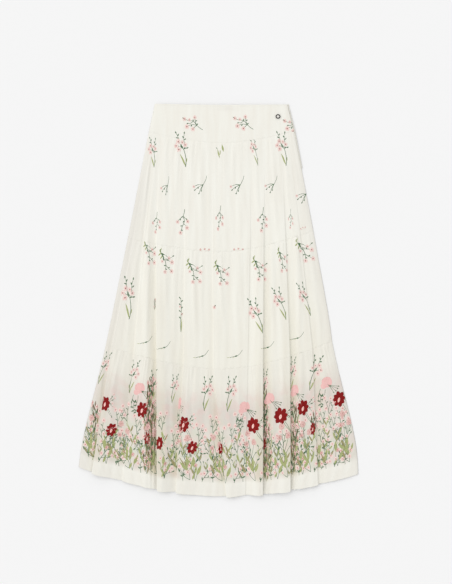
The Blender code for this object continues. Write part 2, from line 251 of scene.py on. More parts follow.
def gathered(tier, x, share):
    """The height of the gathers at these places of one row: none on the yoke."""
    if tier is YOKE:
        return np.zeros_like(x)
    level = between(tier, share)
    half = np.where(x < 0, level.left, level.right)
    place = x / half * tier.bottom.left
    down = share * (tier.bottom.drop - tier.top.drop)
    wave = 2 * math.pi * place / GATHER_WAVE + 1.6 * np.sin(place * 83) + 1.1 * np.sin(place * 191)
    size = 0.65 + 0.35 * np.sin(place * 137 + 1)
    length = GATHER_LENGTH * (1 + 0.5 * np.sin(place * 61 + 2))
    fade = np.exp(-down / length) * (1 - math.exp(-((down / GATHER_START) ** 2)))
    rest = REST_WAVE * (1 + np.sin(place * 330 + 2 * np.sin(down * 21)))
    return GATHER_HEIGHT * size * fade * (0.5 + 0.5 * np.sin(wave)) + rest


def body_rise(x, level):
    """How far the middle of the front stands off the back: nothing at the side seams."""
    half = np.where(x < 0, level.left, level.right)
    return BODY_RISE * (1 - np.minimum(np.abs(x) / half, 1) ** 4)


print("creases:", sum(len(rows) for rows in CREASES.values()))

# %% [markdown]
# ## The panels as nets
#
# A panel of cloth is a net of points: rows run across it and columns run down it. The same
# net makes the cloth's mesh and carries the embroidery, so a stitched flower bends over a fold
# with the cloth. Each row is also measured along the cloth, because a flower that runs into a
# fold goes round it instead of stretching across.

# %% Nets of points
FRONT_BASE = 0.0021
BACK_BASE = 0.00082
CLOTH = 0.00044
FRONT_EDGE_DIP = 0.00097
EDGE_REACH = 0.004
LAP = 0.0012
LAP_DIP = 0.0004
LIP = 0.0013
SEAM_ROWS = (0, 0.0007, 0.0015, 0.003)
HEM_DEPTH = 0.011
HEM_RAISE = 0.00035
BACK_HEM_SHORT = 0.003
FRONT_SPACING = 0.0024
BACK_SPACING = 0.0032
YOKE_SPACING = 0.0026
YOKE_WIDTH = 0.36
STRETCH_END = 0.006
SEAM_MARGIN = 0.005
OUTSIDE_COST = 100
HALVINGS = 22
HEM_STEP = 0.55
LAP_REACH = 0.0035


def fallen(height, distance, width):
    """What is left of a fold's height this far from it, within a stretch of this width."""
    return height * (1 + np.cos(np.pi * np.minimum(1, distance / min(FALL_WIDTH, width)))) / 2


def stretch_points(tier, start, end, count, strength, share):
    """Points between two folds: top layers come down, the cloth swells, gathers and creases."""
    width = end[0] - start[0]
    part = np.arange(1, count + 1) / (count + 1)
    x = start[0] + width * part
    fall = fallen(start[1], width * part, width) + fallen(end[1], width * (1 - part), width)
    swell = SWELL * strength * min(1, width / SWELL_WIDTH) * 4 * part * (1 - part)
    ends = smooth(part * width, 0, STRETCH_END) * smooth((1 - part) * width, 0, STRETCH_END)
    fine = np.maximum(gathered(tier, x, share) + creased(tier, x, share), LOWEST_DIP)
    return np.column_stack([x, fall + swell + fine * ends])


def stretch_counts(tier):
    """How many columns each stretch between two folds of a tier has."""
    edges = [fold_at(fold, tier, 1)[0] for fold in FOLDS]
    edges = [-tier.bottom.left, *edges, tier.bottom.right]
    return [max(3, round((b - a) / FRONT_SPACING)) for a, b in zip(edges, edges[1:])]


def front_row(tier, share):
    """The (x, y, z) points of one row of a front panel, and where its stretches start and end."""
    level = between(tier, share)
    if tier is YOKE:
        x = np.linspace(-level.left, level.right, round(YOKE_WIDTH / YOKE_SPACING))
        fine = np.maximum(creased(tier, x, share), LOWEST_DIP)
        flat = np.column_stack([x, fine])
        marks = [(0, len(x) - 1)]
    else:
        placed = [fold_at(fold, tier, share) for fold in FOLDS]
        sections = [fold_section(fold, *at) for fold, at in zip(FOLDS, placed)]
        sections = [np.array([(-level.left, 0)]), *sections, np.array([(level.right, 0)])]
        strengths = [0, *(strength for _, strength in placed), 0]
        parts = [sections[0]]
        marks = []
        for k, count in enumerate(stretch_counts(tier)):
            pull = max(strengths[k], strengths[k + 1])
            begin = sum(len(p) for p in parts) - 1
            ends = sections[k][-1], sections[k + 1][0]
            parts += [stretch_points(tier, *ends, count, pull, share), sections[k + 1]]
            marks.append((begin, begin + count + 1))
        flat = np.concatenate(parts)
    x, z = flat[:, 0], flat[:, 1]
    step = HEM_STEP * share if tier is HEM_TIER else 0
    inside = np.minimum(x + level.left, level.right - x)
    edge = FRONT_EDGE_DIP * np.exp(-((inside / EDGE_REACH) ** 2))
    y = lifted(x, level) - step * z
    return np.column_stack([x, y, z + FRONT_BASE + body_rise(x, level) - edge]), marks


def back_row(tier, share):
    """The points of one row of a back panel: flat, and a little short at the hem."""
    level = between(tier, share)
    x = np.linspace(-level.left, level.right, round(2 * tier.bottom.left / BACK_SPACING))
    short = BACK_HEM_SHORT * share if tier is HEM_TIER else 0
    y = lifted(x, level) + short
    return np.column_stack([x, y, np.full_like(x, BACK_BASE)]), [(0, len(x) - 1)]


def row_shares(tier):
    """The rows of a panel, from 0 to 1: close together at its two seams."""
    length = tier.bottom.drop - tier.top.drop
    near = np.array(SEAM_ROWS) / length
    middle = np.linspace(SEAM_MARGIN / length, 1 - SEAM_MARGIN / length, tier.rows)
    return np.concatenate([near, middle, 1 - near[::-1]])


class Panel:
    """One panel of cloth as a net of points, with its lengths along each row."""

    def __init__(self, tier, side):
        self.tier = tier
        self.side = side
        self.name = f"{tier.name}_{side}"
        self.shares = row_shares(tier)
        row = front_row if side == "front" else back_row
        rows = [row(tier, share) for share in self.shares]
        self.marks = rows[0][1]
        self.net = np.array([points for points, _ in rows])
        self.dress()
        steps = np.linalg.norm(np.diff(self.net[:, :, (0, 2)], axis=1), axis=2)
        self.along = np.pad(np.cumsum(steps, axis=1), ((0, 0), (1, 0)))
        middle = [np.interp(0, row[:, 0], along) for row, along in zip(self.net, self.along)]
        self.along -= np.array(middle)[:, None]
        across = np.gradient(self.net, axis=1)
        down = np.gradient(self.net, axis=0)
        normals = np.cross(down, across)
        normals /= np.linalg.norm(normals, axis=2)[:, :, None]
        self.normals = normals if side == "front" else -normals
        self.net += np.array(WAIST_CENTRE)

    def dress(self):
        """Turns both edges of a seam inwards, the lower one under the upper, and turns the hem."""
        length = self.tier.bottom.drop - self.tier.top.drop
        down = (self.shares * length)[:, None]
        up = length - down
        inward = -1 if self.side == "front" else 1
        if self.tier is not YOKE:
            lap = np.exp(-((down / LAP_REACH) ** 2))
            self.net[:, :, 1] += LAP * lap
            self.net[:, :, 2] += inward * LAP_DIP * lap
        if self.tier is not HEM_TIER:
            self.net[:, :, 2] += inward * LAP_DIP * np.exp(-((up / LIP) ** 2))
        elif self.side == "front":
            self.net[:, :, 2] += HEM_RAISE * smooth(up, HEM_DEPTH + 0.001, HEM_DEPTH - 0.001)

    def stretch_at(self, x, row):
        """The stretch of cloth that lies on top at this place of a row."""
        place = x + WAIST_CENTRE.x
        scores = []
        for begin, end in self.marks:
            points = self.net[row, begin : end + 1]
            outside = max(points[0, 0] - place, place - points[-1, 0], 0)
            scores.append(np.interp(place, points[:, 0], points[:, 2]) - outside * OUTSIDE_COST)
        return int(np.argmax(scores))


def share_at(tier, x, y):
    """How far down a tier the places (x, y) lie: found by halving, because its sides bow."""
    low, high = np.full_like(x, -0.2), np.full_like(x, 1.2)
    for _ in range(HALVINGS):
        middle = (low + high) / 2
        below = lifted(x, between(tier, middle)) > y
        low, high = np.where(below, middle, low), np.where(below, high, middle)
    return (low + high) / 2


panels = {}
for tier in TIERS:
    for side in ("front", "back"):
        panel = Panel(tier, side)
        panels[panel.name] = panel
        print(panel.name, "rows and columns:", panel.net.shape[:2])

# %% [markdown]
# ## Camera
#
# The skirt was shown from straight above. The camera stands about 3.4 m over it with a long lens,
# so the low folds aren't shifted towards the edges of the picture. How much it takes in is set by
# the size of one pixel on the cloth.

# %% Camera
PIXEL = 0.97 / 393
IMAGE = (452, 584)
WAIST_PIXEL = (221, 105)
LENS = 85
SENSOR = 36

view_height = IMAGE[1] * PIXEL
camera_data = bpy.data.cameras.new("camera")
camera_data.sensor_fit = "VERTICAL"
camera_data.sensor_height = SENSOR
camera_data.lens = LENS
camera = bpy.data.objects.new("camera", camera_data)
bpy.context.scene.collection.objects.link(camera)
aim_x = (IMAGE[0] / 2 - WAIST_PIXEL[0]) * PIXEL + WAIST_CENTRE.x
aim_y = (WAIST_PIXEL[1] - IMAGE[1] / 2) * PIXEL + WAIST_CENTRE.y
camera.location = (aim_x, aim_y, view_height * LENS / SENSOR)
bpy.context.scene.camera = camera
print("camera height in metres:", round(camera.location.z, 3))

# %% [markdown]
# ## Shader maths
#
# A material is a small sum worked out at every point of a surface. Writing it as Python
# expressions keeps it readable: the class below wraps a socket, and each operator adds the Math
# node that does that sum. Every other node comes from one method.

# %% A socket that takes operators


class Value:
    """A number that varies over a surface. Its operators add Math nodes."""

    def __init__(self, finish, socket):
        self.finish = finish
        self.socket = socket

    def maths(self, operation, first, second=0.0):
        """One Math node."""
        return self.finish.node("ShaderNodeMath", {"operation": operation}, [first, second])

    def __add__(self, other):
        return self.maths("ADD", self, other)

    def __sub__(self, other):
        return self.maths("SUBTRACT", self, other)

    def __mul__(self, other):
        return self.maths("MULTIPLY", self, other)

    def __rsub__(self, other):
        return self.maths("SUBTRACT", other, self)

    __radd__ = __add__
    __rmul__ = __mul__

    def limited(self, low, high):
        """0 at low, 1 at high, and a soft step between."""
        settings = {"interpolation_type": "SMOOTHSTEP"}
        return self.finish.node("ShaderNodeMapRange", settings, {"Value": self, 1: low, 2: high})


class Finish:
    """One material, its Principled shader, and the nodes that feed it."""

    def __init__(self, name, roughness, metallic=0.0):
        self.material = bpy.data.materials.new(name)
        self.material.use_nodes = True
        self.tree = self.material.node_tree
        self.shader = self.tree.nodes["Principled BSDF"]
        self.shader.inputs["Roughness"].default_value = roughness
        self.shader.inputs["Metallic"].default_value = metallic

    def node(self, kind, settings=None, values=None, output=0):
        """Adds a node: its settings first, then the values or links of its sockets."""
        made = self.tree.nodes.new(kind)
        for setting, value in (settings or {}).items():
            setattr(made, setting, value)
        values = dict(enumerate(values)) if isinstance(values, list) else values or {}
        for socket, value in values.items():
            if isinstance(value, Value):
                self.tree.links.new(value.socket, made.inputs[socket])
            else:
                made.inputs[socket].default_value = value
        return Value(self, made.outputs[output])

    def feed(self, socket, value):
        """Links a value to a socket of the shader."""
        self.tree.links.new(value.socket, self.shader.inputs[socket])

    def set(self, **sockets):
        """Sets sockets of the shader that are the same all over: Coat_Weight is Coat Weight."""
        for socket, value in sockets.items():
            self.shader.inputs[socket.replace("_", " ")].default_value = value

    def pair(self, x, y):
        """A place from two values."""
        return self.node("ShaderNodeCombineXYZ", values={"X": x, "Y": y})

    def sine(self, value):
        """The sine of a value in radians."""
        return self.node("ShaderNodeMath", {"operation": "SINE"}, [value])

    def noise(self, vector, detail=2.0, roughness=0.5):
        """Soft noise of size one at a place."""
        values = {"Vector": vector, "Scale": 1.0, "Detail": detail, "Roughness": roughness}
        return self.node("ShaderNodeTexNoise", values=values)

    def object_place(self):
        """The place on the piece in metres, in the frame of the whole skirt."""
        return self.node("ShaderNodeTexCoord", output="Object")

    def grain(self, *scale, detail=2.0):
        """Noise on the piece, with its own scale along x, y and z."""
        values = {"Vector": self.object_place(), "Scale": scale}
        return self.noise(self.node("ShaderNodeMapping", values=values), detail)

    def blend(self, factor, first, second):
        """A colour between two, by a factor."""
        values = {0: factor, 6: first, 7: second}
        return self.node("ShaderNodeMix", {"data_type": "RGBA"}, values, output=2)

    def mapped(self, uv_map):
        """The two distances in metres that a UV map of the piece holds."""
        uv = self.node("ShaderNodeUVMap", {"uv_map": uv_map})
        parts = self.node("ShaderNodeSeparateXYZ", values=[uv]).socket.node
        return Value(self, parts.outputs[0]), Value(self, parts.outputs[1])

    def written(self, attribute):
        """A value that is written at each point of the mesh."""
        return self.node("ShaderNodeAttribute", {"attribute_name": attribute}, output="Fac")

    def bump(self, height, distance):
        """Fine relief: a height of one stands this far in metres."""
        values = {"Strength": 1.0, "Distance": distance, "Height": height}
        self.feed("Normal", self.node("ShaderNodeBump", values=values))


print("shader helpers ready")

# %% [markdown]
# ## Crepe
#
# The cloth is a thin ivory crepe. Its yarns are twisted hard, so it has a fine crinkle that runs
# down the cloth, over a plain weave. It is not one flat ivory: it is a little warmer and
# a little cooler in soft streaks. It is so thin that the border of the other side shows through
# it, faintly, as grey, pink and green clouds above the hem. Real see-through cloth would need
# many layers of light, so the clouds are noise, on the cloth's own map in metres.

# %% The crepe finish
IVORY = (0.845, 0.835, 0.770, 1)
WARM_IVORY = (0.790, 0.757, 0.680, 1)
DEEP_IVORY = (0.735, 0.700, 0.560, 1)
VALLEY_SHADE_IVORY = (0.600, 0.540, 0.370, 1)
EDGE_SHADE_GREY = (0.700, 0.670, 0.620, 1)
GREY_HAZE = (0.630, 0.572, 0.522, 1)
PINK_HAZE = (0.745, 0.572, 0.530, 1)
GREEN_HAZE = (0.590, 0.640, 0.500, 1)
DEEPER_FROM = (0.150, 0.800)
DEEPER_TO = (0.900, 0.935)
HAZE_FROM = (0.680, 0.780)
HAZE_TO = (0.915, 0.935)
LOW_HAZE_FROM = (0.740, 0.830)
WEAVE = 9000
CRINKLE_DEPTH = 0.00022


def crepe_finish(name):
    """Ivory crepe, placed by the cloth's own UV map in metres."""
    crepe = Finish(name, 0.86)
    across, down = crepe.mapped("cloth")
    streaks = crepe.noise(crepe.pair(across * 70, down * 7), 3.0)
    colour = crepe.blend((streaks - 0.35) * 1.6, IVORY, WARM_IVORY)
    clouds = crepe.noise(crepe.pair(across * 46, down * 38))
    other = crepe.noise(crepe.pair(across * 38 + 9, down * 52 + 4))
    band = down.limited(*HAZE_FROM) * (1 - down.limited(*HAZE_TO))
    deeper = down.limited(*DEEPER_FROM) * (1 - down.limited(*DEEPER_TO) * 0.8)
    colour = crepe.blend(deeper * 0.22, colour, DEEP_IVORY)
    low_band = band * down.limited(*LOW_HAZE_FROM)
    grey = band * (0.58 + streaks * 0.48) * (1 - low_band * 0.40)
    colour = crepe.blend(grey, colour, GREY_HAZE)
    pink = clouds.limited(0.42, 0.66) * band * (0.62 - low_band * 0.26)
    colour = crepe.blend(pink, colour, PINK_HAZE)
    colour = crepe.blend(other.limited(0.40, 0.70) * low_band * 0.46, colour, GREEN_HAZE)
    # Painted shade: the "layers" attribute darkens the cloth towards a shade colour in the fold
    # valleys and on the folds' top layers.
    colour = crepe.blend(crepe.written("layers") * 0.80, colour, VALLEY_SHADE_IVORY)
    # Painted shade: the "edge" attribute greys the cloth at the side edges and in a dent at the
    # waist, and darkens bands at the top and foot of the hem tier.
    crepe.feed("Base Color", crepe.blend(crepe.written("edge"), colour, EDGE_SHADE_GREY))
    crinkle = crepe.noise(crepe.pair(across * 620, down * 90), 3.0, 0.6)
    weave = crepe.sine(across * WEAVE) * crepe.sine(down * WEAVE)
    crepe.bump(crinkle + weave * 0.12, CRINKLE_DEPTH)
    crepe.set(Sheen_Weight=0.15, Sheen_Roughness=0.5)
    return crepe.material


crepes = {side: crepe_finish(f"crepe_{side}") for side in ("front", "back")}
print("cloth finishes:", ", ".join(crepe.name for crepe in crepes.values()))

# %% [markdown]
# ## Cutting the cloth
#
# Each panel's mesh starts as a flat grid with one vertex for each point of the net. Its
# vertices are then moved to the net, and a Solidify modifier gives the cloth its thickness. A
# grid is the right start because its rows and columns are those of the cloth.

# %% Panels of cloth


def add_piece(name, mesh, materials):
    """Puts a mesh in the scene with its materials, and lets it ride on the skirt."""
    piece = bpy.data.objects.new(name, mesh)
    for material in materials:
        mesh.materials.append(material)
    bpy.context.scene.collection.objects.link(piece)
    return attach(piece, "root")


def as_mesh(name, bm):
    """The mesh of a finished bmesh."""
    mesh = bpy.data.meshes.new(name)
    bm.to_mesh(mesh)
    bm.free()
    return mesh


def vertex_places(mesh):
    """The (x, y, z) of every vertex of a mesh."""
    places = np.zeros(len(mesh.vertices) * 3, np.float32)
    mesh.vertices.foreach_get("co", places)
    return places.reshape(-1, 3)


def thicken(piece, thickness):
    """Gives a sheet a wall, half of it on each side."""
    wall = piece.modifiers.new("thickness", "SOLIDIFY")
    wall.thickness = thickness
    wall.offset = 0


def grid_mesh(name, rows, columns):
    """A flat grid, and the row and column of each of its vertices."""
    bm = bmesh.new()
    bmesh.ops.create_grid(bm, x_segments=columns - 1, y_segments=rows - 1, size=1)
    mesh = as_mesh(name, bm)
    flat = vertex_places(mesh)
    column = np.rint((flat[:, 0] + 1) / 2 * (columns - 1)).astype(int)
    row = np.rint((1 - flat[:, 1]) / 2 * (rows - 1)).astype(int)
    return mesh, row, column


def write_uv(mesh, name, values):
    """Writes one (u, v) for each vertex into a UV map."""
    layer = mesh.uv_layers.new(name=name)
    corners = np.zeros(len(mesh.loops), np.int32)
    mesh.loops.foreach_get("vertex_index", corners)
    layer.data.foreach_set("uv", values[corners].astype(np.float32).ravel())


# %% Shadows of the folds and edges
VALLEY_REACH = 0.012
UPPER_VALLEY = 0.54
TOP_LAYER = 0.35
LEAST_FOLD = 0.25
EDGE_DEPTH = 0.62
EDGE_WIDTH = 0.026
HEM_TOP_SHADE = 0.16
HEM_FOOT_SHADE = 0.17
PLAIN_HEM = (0.84, 0.92)
DENT = (0.015, 0.010)
DENT_REACH = (0.018, 0.006)
DENT_SHADE = 0.30


def valley_shade_strength(tier, share):
    """How dark the painted shade in the valleys is: darker down to the border, and fading over the
    plain hem.
    """
    if tier is HEM_TIER:
        return mix(1.1, 1.7, smooth(share, 0, 0.4)) * (1 - 0.92 * smooth(share, *PLAIN_HEM))
    return mix(UPPER_VALLEY, 1.0, share * share) if tier is MIDDLE else UPPER_VALLEY


def painted_fold_shade(panel):
    """How much painted shade each point gets in the valley beside a fold or on its top layer, from
    0 to 1.
    """
    place = panel.net[:, :, 0] - WAIST_CENTRE.x
    found = np.zeros(place.shape)
    if panel.tier is YOKE or panel.side == "back":
        return found
    for fold in FOLDS:
        for row, share in enumerate(panel.shares):
            x, strength = fold_at(fold, panel.tier, share)
            out = (x - place[row]) * fold.lean
            valley = np.exp(-(((out - VALLEY_REACH * 0.6) / VALLEY_REACH) ** 2))
            top = TOP_LAYER * smooth(out, -fold.tuck * 1.4, -fold.tuck) * (out < 0)
            depth = max(0, strength - LEAST_FOLD) * valley_shade_strength(panel.tier, share)
            found[row] += depth * np.where(out > 0, valley, top)
    return np.minimum(found, 1)


def edge_shade(panel):
    """A soft grey of painted shade at the side edges, stronger on the left, and in a dent at the
    waist, and a soft grey on the hem tier.
    """
    place = panel.net[:, :, 0] - WAIST_CENTRE.x
    down = mix(panel.tier.top.drop, panel.tier.bottom.drop, panel.shares)[:, None]
    inside = np.minimum(place - place[:, :1], place[:, -1:] - place)
    depth = np.where(place < 0, EDGE_DEPTH, EDGE_DEPTH * 0.5)
    shade = depth * np.exp(-((inside / EDGE_WIDTH) ** 2)) * smooth(down, 0.0, 0.30)
    if panel.tier is HEM_TIER:
        top = HEM_TOP_SHADE * (1 - smooth(panel.shares, 0.05, 0.30))
        foot = HEM_FOOT_SHADE * smooth(panel.shares, 0.86, 0.94)
        shade = np.maximum(shade, (top + foot)[:, None])
    if panel.name == "yoke_front":
        across, below = (place - DENT[0]) / DENT_REACH[0], (down - DENT[1]) / DENT_REACH[1]
        shade = shade + DENT_SHADE * np.exp(-(across**2) - below**2)
    return shade


def cut_panel(panel):
    """One panel of cloth, on its net, with its fold shadows written at each point."""
    mesh, row, column = grid_mesh(panel.name + "_cloth", *panel.net.shape[:2])
    mesh.vertices.foreach_set("co", panel.net[row, column].astype(np.float32).ravel())
    drop = mix(panel.tier.top.drop, panel.tier.bottom.drop, panel.shares)
    write_uv(mesh, "cloth", np.column_stack([panel.along[row, column], drop[row]]))
    # The "layers" attribute holds the painted shade of the folds, and the "edge" attribute the
    # painted shade at the edges and the waist dent, with the grey hem bands.
    for name, found in (("layers", painted_fold_shade(panel)), ("edge", edge_shade(panel))):
        shades = mesh.attributes.new(name, "FLOAT", "POINT")
        shades.data.foreach_set("value", found[row, column].astype(np.float32))
    if panel.side == "back":
        mesh.flip_normals()
    mesh.shade_smooth()
    piece = add_piece(panel.name + "_cloth", mesh, [crepes[panel.side]])
    thicken(piece, CLOTH)
    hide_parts(panel.name)
    print(piece.name, "faces:", len(mesh.polygons))
    return piece


cloth = {name: cut_panel(panel) for name, panel in panels.items()}

# %% [markdown]
# ## Embroidery threads
#
# The flowers are embroidered in satin stitch: close, parallel threads that stand a little above
# the cloth and catch the light across their run. Each thread colour is a finish with fine ridges
# along its own UV map, which holds the distance along and across every stitched shape. The tone
# wanders a little, as dyed thread does.

# %% Thread finishes
Thread = namedtuple("Thread", "name light deep")
THREADS = (
    Thread("dark_green", (0.112, 0.204, 0.104, 1), (0.054, 0.117, 0.060, 1)),
    Thread("lime", (0.455, 0.480, 0.235, 1), (0.290, 0.345, 0.130, 1)),
    Thread("olive", (0.400, 0.360, 0.190, 1), (0.260, 0.230, 0.110, 1)),
    # Umber stands for leaves in the shadow of a fold: painted shade in the thread's colour.
    Thread("umber", (0.200, 0.135, 0.070, 1), (0.110, 0.070, 0.036, 1)),
    Thread("rose", (0.800, 0.580, 0.530, 1), (0.600, 0.330, 0.300, 1)),
    Thread("deep_rose", (0.660, 0.300, 0.280, 1), (0.480, 0.180, 0.170, 1)),
    Thread("mauve", (0.440, 0.200, 0.185, 1), (0.300, 0.120, 0.115, 1)),
    Thread("pink", (0.870, 0.715, 0.665, 1), (0.790, 0.560, 0.510, 1)),
    Thread("pale_pink", (0.840, 0.540, 0.510, 1), (0.800, 0.465, 0.445, 1)),
    Thread("red", (0.272, 0.010, 0.009, 1), (0.190, 0.005, 0.005, 1)),
    Thread("flower_heart", (0.950, 0.700, 0.640, 1), (0.930, 0.500, 0.440, 1)),
    Thread("ivory_thread", (0.850, 0.840, 0.780, 1), (0.820, 0.805, 0.735, 1)),
)
THREAD_NAMES = [thread.name for thread in THREADS]
STITCH_PITCH = 0.00045
STITCH_DEPTH = 0.00003


def thread_finish(thread):
    """Satin stitch: fine ridges across the run of a shape, with a soft sheen."""
    finish = Finish(thread.name, 0.55)
    finish.set(Specular_IOR_Level=0.12)
    along, across = finish.mapped("thread")
    tone = finish.grain(700, 700, 90)
    finish.feed("Base Color", finish.blend(tone.limited(0.35, 0.65), thread.deep, thread.light))
    phase = (along + across * 0.5) * (2 * math.pi / STITCH_PITCH)
    finish.bump(finish.sine(phase), STITCH_DEPTH)
    return finish.material


thread_materials = [thread_finish(thread) for thread in THREADS]
print("threads:", ", ".join(THREAD_NAMES))

# %% [markdown]
# ## Drawing with stitches
#
# Every flower is drawn flat first, in units of one pixel of the picture, about 2.5 mm of cloth.
# All of it comes from one shape: a strip that follows a path, narrow or wide, and stands up from
# its edges. Stems, leaves, buds and petals differ only in their path and width. The strip starts
# as a small grid, so it is cheap enough to repeat thousands of times.

# %% Strips of stitches
STRIP_LIFT = 0.00030
STRIP_EDGE = -0.00006
STEM_LIFT = 0.00022
BUD_LIFT = 0.00036
KNOT_LIFT = 0.00042
STRIP_CELL = 1.1
drawings = {}


def curve_through(points, steps=3):
    """A smooth curve through points: cubic, with each tangent set by a point's neighbours."""
    p = np.array([points[0], *points, points[-1]], float)
    placed = []
    for k in range(1, len(p) - 2):
        for t in np.linspace(0, 1, steps, endpoint=False):
            first = 2 * p[k] + (p[k + 1] - p[k - 1]) * t
            second = (2 * p[k - 1] - 5 * p[k] + 4 * p[k + 1] - p[k + 2]) * t**2
            third = (3 * p[k] - p[k - 1] - 3 * p[k + 1] + p[k + 2]) * t**3
            placed.append((first + second + third) / 2)
    return np.array([*placed, p[-1]])


def turned(angle):
    """A step of length one in a direction given in degrees."""
    return np.array([math.cos(math.radians(angle)), math.sin(math.radians(angle))])


class Drawing:
    """A motif laid out flat: x across, y up, z the height of the stitches above the cloth."""

    def __init__(self, name, heart="deep_rose"):
        self.name = name
        self.heart = heart
        self.bm = bmesh.new()
        self.uv = self.bm.loops.layers.uv.new("thread")

    def strip(self, thread, path, halves, lift=STRIP_LIFT, edge=STRIP_EDGE):
        """A raised strip of stitches along a path, with its half width at each point."""
        count = len(path)
        across = 2 * max(1, round(max(halves) / STRIP_CELL))
        heading = np.gradient(path, axis=0)
        heading /= np.linalg.norm(heading, axis=1)[:, None] + 1e-9
        steps = np.linalg.norm(np.diff(path, axis=0), axis=1)
        run = np.concatenate([[0], np.cumsum(steps)])
        grid = bmesh.ops.create_grid(self.bm, x_segments=count - 1, y_segments=across, size=1)
        places = {}
        for vert in grid["verts"]:
            k = round((vert.co.x + 1) / 2 * (count - 1))
            side = vert.co.y
            out = np.array([-heading[k][1], heading[k][0]]) * halves[k] * side
            vert.co = (*(path[k] + out), mix(lift, edge, abs(side) ** 5))
            places[vert] = (run[k] * PIXEL, side * halves[k] * PIXEL)
        self.colour(thread, places)

    def colour(self, thread, places):
        """Gives the faces about these vertices a thread, and the vertices their thread map."""
        for face in {face for vert in places for face in vert.link_faces}:
            face.material_index = THREAD_NAMES.index(thread)
            face.smooth = True
            for loop in face.loops:
                loop[self.uv].uv = places[loop.vert]

    def stem(self, *points, width=0.62, thread="dark_green"):
        """A thin stem through points, narrower at its tip."""
        path = curve_through(points)
        taper = np.linspace(1.1, 0.75, len(path))
        self.strip(thread, path, width / 2 * taper, STEM_LIFT)

    def leaf(self, x, y, angle, length, width, bend=0.0, thread="lime", count=6, full=0.9,
             point=0.8, lift=STRIP_LIFT, edge=STRIP_EDGE):
        """A leaf from its base: bend turns its tip by so many degrees, a low point blunts it."""
        share = np.linspace(0, 1, count)
        steps = np.array([turned(angle + bend * s) for s in share[1:]]) * length / (count - 1)
        path = np.concatenate([[(x, y)], (x, y) + np.cumsum(steps, axis=0)])
        halves = width / 2 * np.maximum(np.maximum(np.sin(np.pi * share**full), 0) ** point, 0.10)
        self.strip(thread, path, halves, lift, edge)

    def bud(self, x, y, angle, length, width):
        """A small dark bud."""
        self.leaf(x, y, angle, length * 1.2, width * 1.3, 0, "dark_green", 4, 1.1, 0.8, BUD_LIFT)

    def knot(self, x, y, radius, thread):
        """A small knot of thread."""
        made = bmesh.ops.create_circle(
            self.bm, cap_ends=True, cap_tris=True, segments=7, radius=radius)["verts"]
        for vert in made:
            lift = KNOT_LIFT if vert.co.length < radius / 2 else KNOT_LIFT / 2
            vert.co = (vert.co.x + x, vert.co.y + y, lift)
        self.colour(thread, {vert: (vert.co.x * PIXEL, vert.co.y * PIXEL) for vert in made})

    def blossom(self, x, y, radius, thread="pink", start=18, petals=5):
        """A small open flower of a few petals about a knot."""
        for k in range(petals):
            angle = start + 360 * k / petals
            long = radius * (1 + 0.10 * math.sin(2.3 * k + start))
            self.leaf(x, y, angle, long, radius * 1.12, 0, thread, 6, 1.6, 0.55)
        self.knot(x, y, radius * 0.32, self.heart)

    def leaves(self, rows, *rest):
        """One leaf for each row of a table."""
        for row in rows:
            self.leaf(*row, *rest)

    def buds(self, rows, *rest):
        """One bud for each row of a table."""
        for row in rows:
            self.bud(*row, *rest)

    def blossoms(self, rows, grown=1.0):
        """One blossom for each row (x, y, radius) of a table."""
        for x, y, radius in rows:
            self.blossom(x, y, radius * grown)

    def finish(self):
        """Keeps its mesh, and the mesh of its mirror image, among the drawings."""
        print(self.name, "faces:", len(self.bm.faces))
        mirrored = self.bm.copy()
        bmesh.ops.scale(mirrored, vec=(-1, 1, 1), verts=mirrored.verts)
        bmesh.ops.reverse_faces(mirrored, faces=mirrored.faces)
        drawings[self.name] = [as_mesh(self.name, bm) for bm in (self.bm, mirrored)]


# %% [markdown]
# ## Sprigs
#
# The upper part of the skirt is strewn with small sprigs in rows, each row of one kind. The
# sprigs below are ordinary ones of thin dark stems, small pink blossoms, dark buds and lime
# leaves. Each is drawn from its foot or its knot, so that it can be placed and turned there.

# %% Tall sprig and yoke bouquet
SPRIG_BLOSSOM = 1.2

sprig = Drawing("tall_sprig", "mauve")
sprig.stem((0, 0), (-0.6, 6), (0.3, 12), (1.8, 17), width=0.85)
sprig.leaf(0, 0.6, 70, 13, 1.9, -8, "lime", 8)
sprig.leaf(-0.5, 4, 112, 5, 1.0, -20)
sprig.stem((1.8, 17), (1.0, 22), (1.9, 27.5), (1.4, 32))
sprig.stem((1.8, 17), (4.5, 19.3), (7.4, 20.3))
sprig.stem((4.2, 19.0), (6.0, 24), (7.2, 28.5), (9.2, 32.5))
sprig.buds((
    (1.4, 32, 95), (1.8, 28, 58), (1.5, 26, 135), (9.2, 32.5, 62), (8.0, 30, 115), (7.2, 28, 20),
    (1.9, 17.5, 150), (4.6, 19.5, 95), (2.6, 18.4, 60),
), 2.2, 1.15)
sprig.blossoms((
    (0.4, 21.5, 1.9), (7.4, 24.6, 2.1), (6.8, 17.0, 2.1), (3.3, 24.0, 1.6), (9.6, 20.6, 1.9),
), SPRIG_BLOSSOM)
sprig.bud(-0.2, 18.2, 165, 2.4, 1.1)
sprig.finish()

bouquet = Drawing("yoke_bouquet", "mauve")
bouquet.stem((0, 0), (-3, 1.8), (-6, 4.5))
bouquet.stem((-6, 4.5), (-9.5, 8.5), (-14, 9.2), (-18, 10.6))
bouquet.stem((-6, 4.5), (-7.5, 8.2), (-8, 12))
bouquet.stem((-6, 4.5), (-11, 5.2), (-15.4, 3.7))
bouquet.stem((-6, 4.5), (-8.2, 2.6), (-9.8, 1.2))
bouquet.stem((-9.5, 8.4), (-12.5, 6.4), (-14, 6.6))
bouquet.blossoms((
    (-18.4, 10.8, 1.7), (-8.0, 12.4, 1.7), (-15.9, 3.2, 2.0), (-9.9, 0.7, 1.9), (-13.4, 9.9, 1.4),
), SPRIG_BLOSSOM)
bouquet.buds((
    (-6, 4.5, 60), (-9.4, 8.2, 100), (-7.6, 8.4, 30), (-11, 5.2, 250), (-14, 6.6, 190),
    (-18.5, 11, 150),
), 1.9, 1.0)
bouquet.finish()

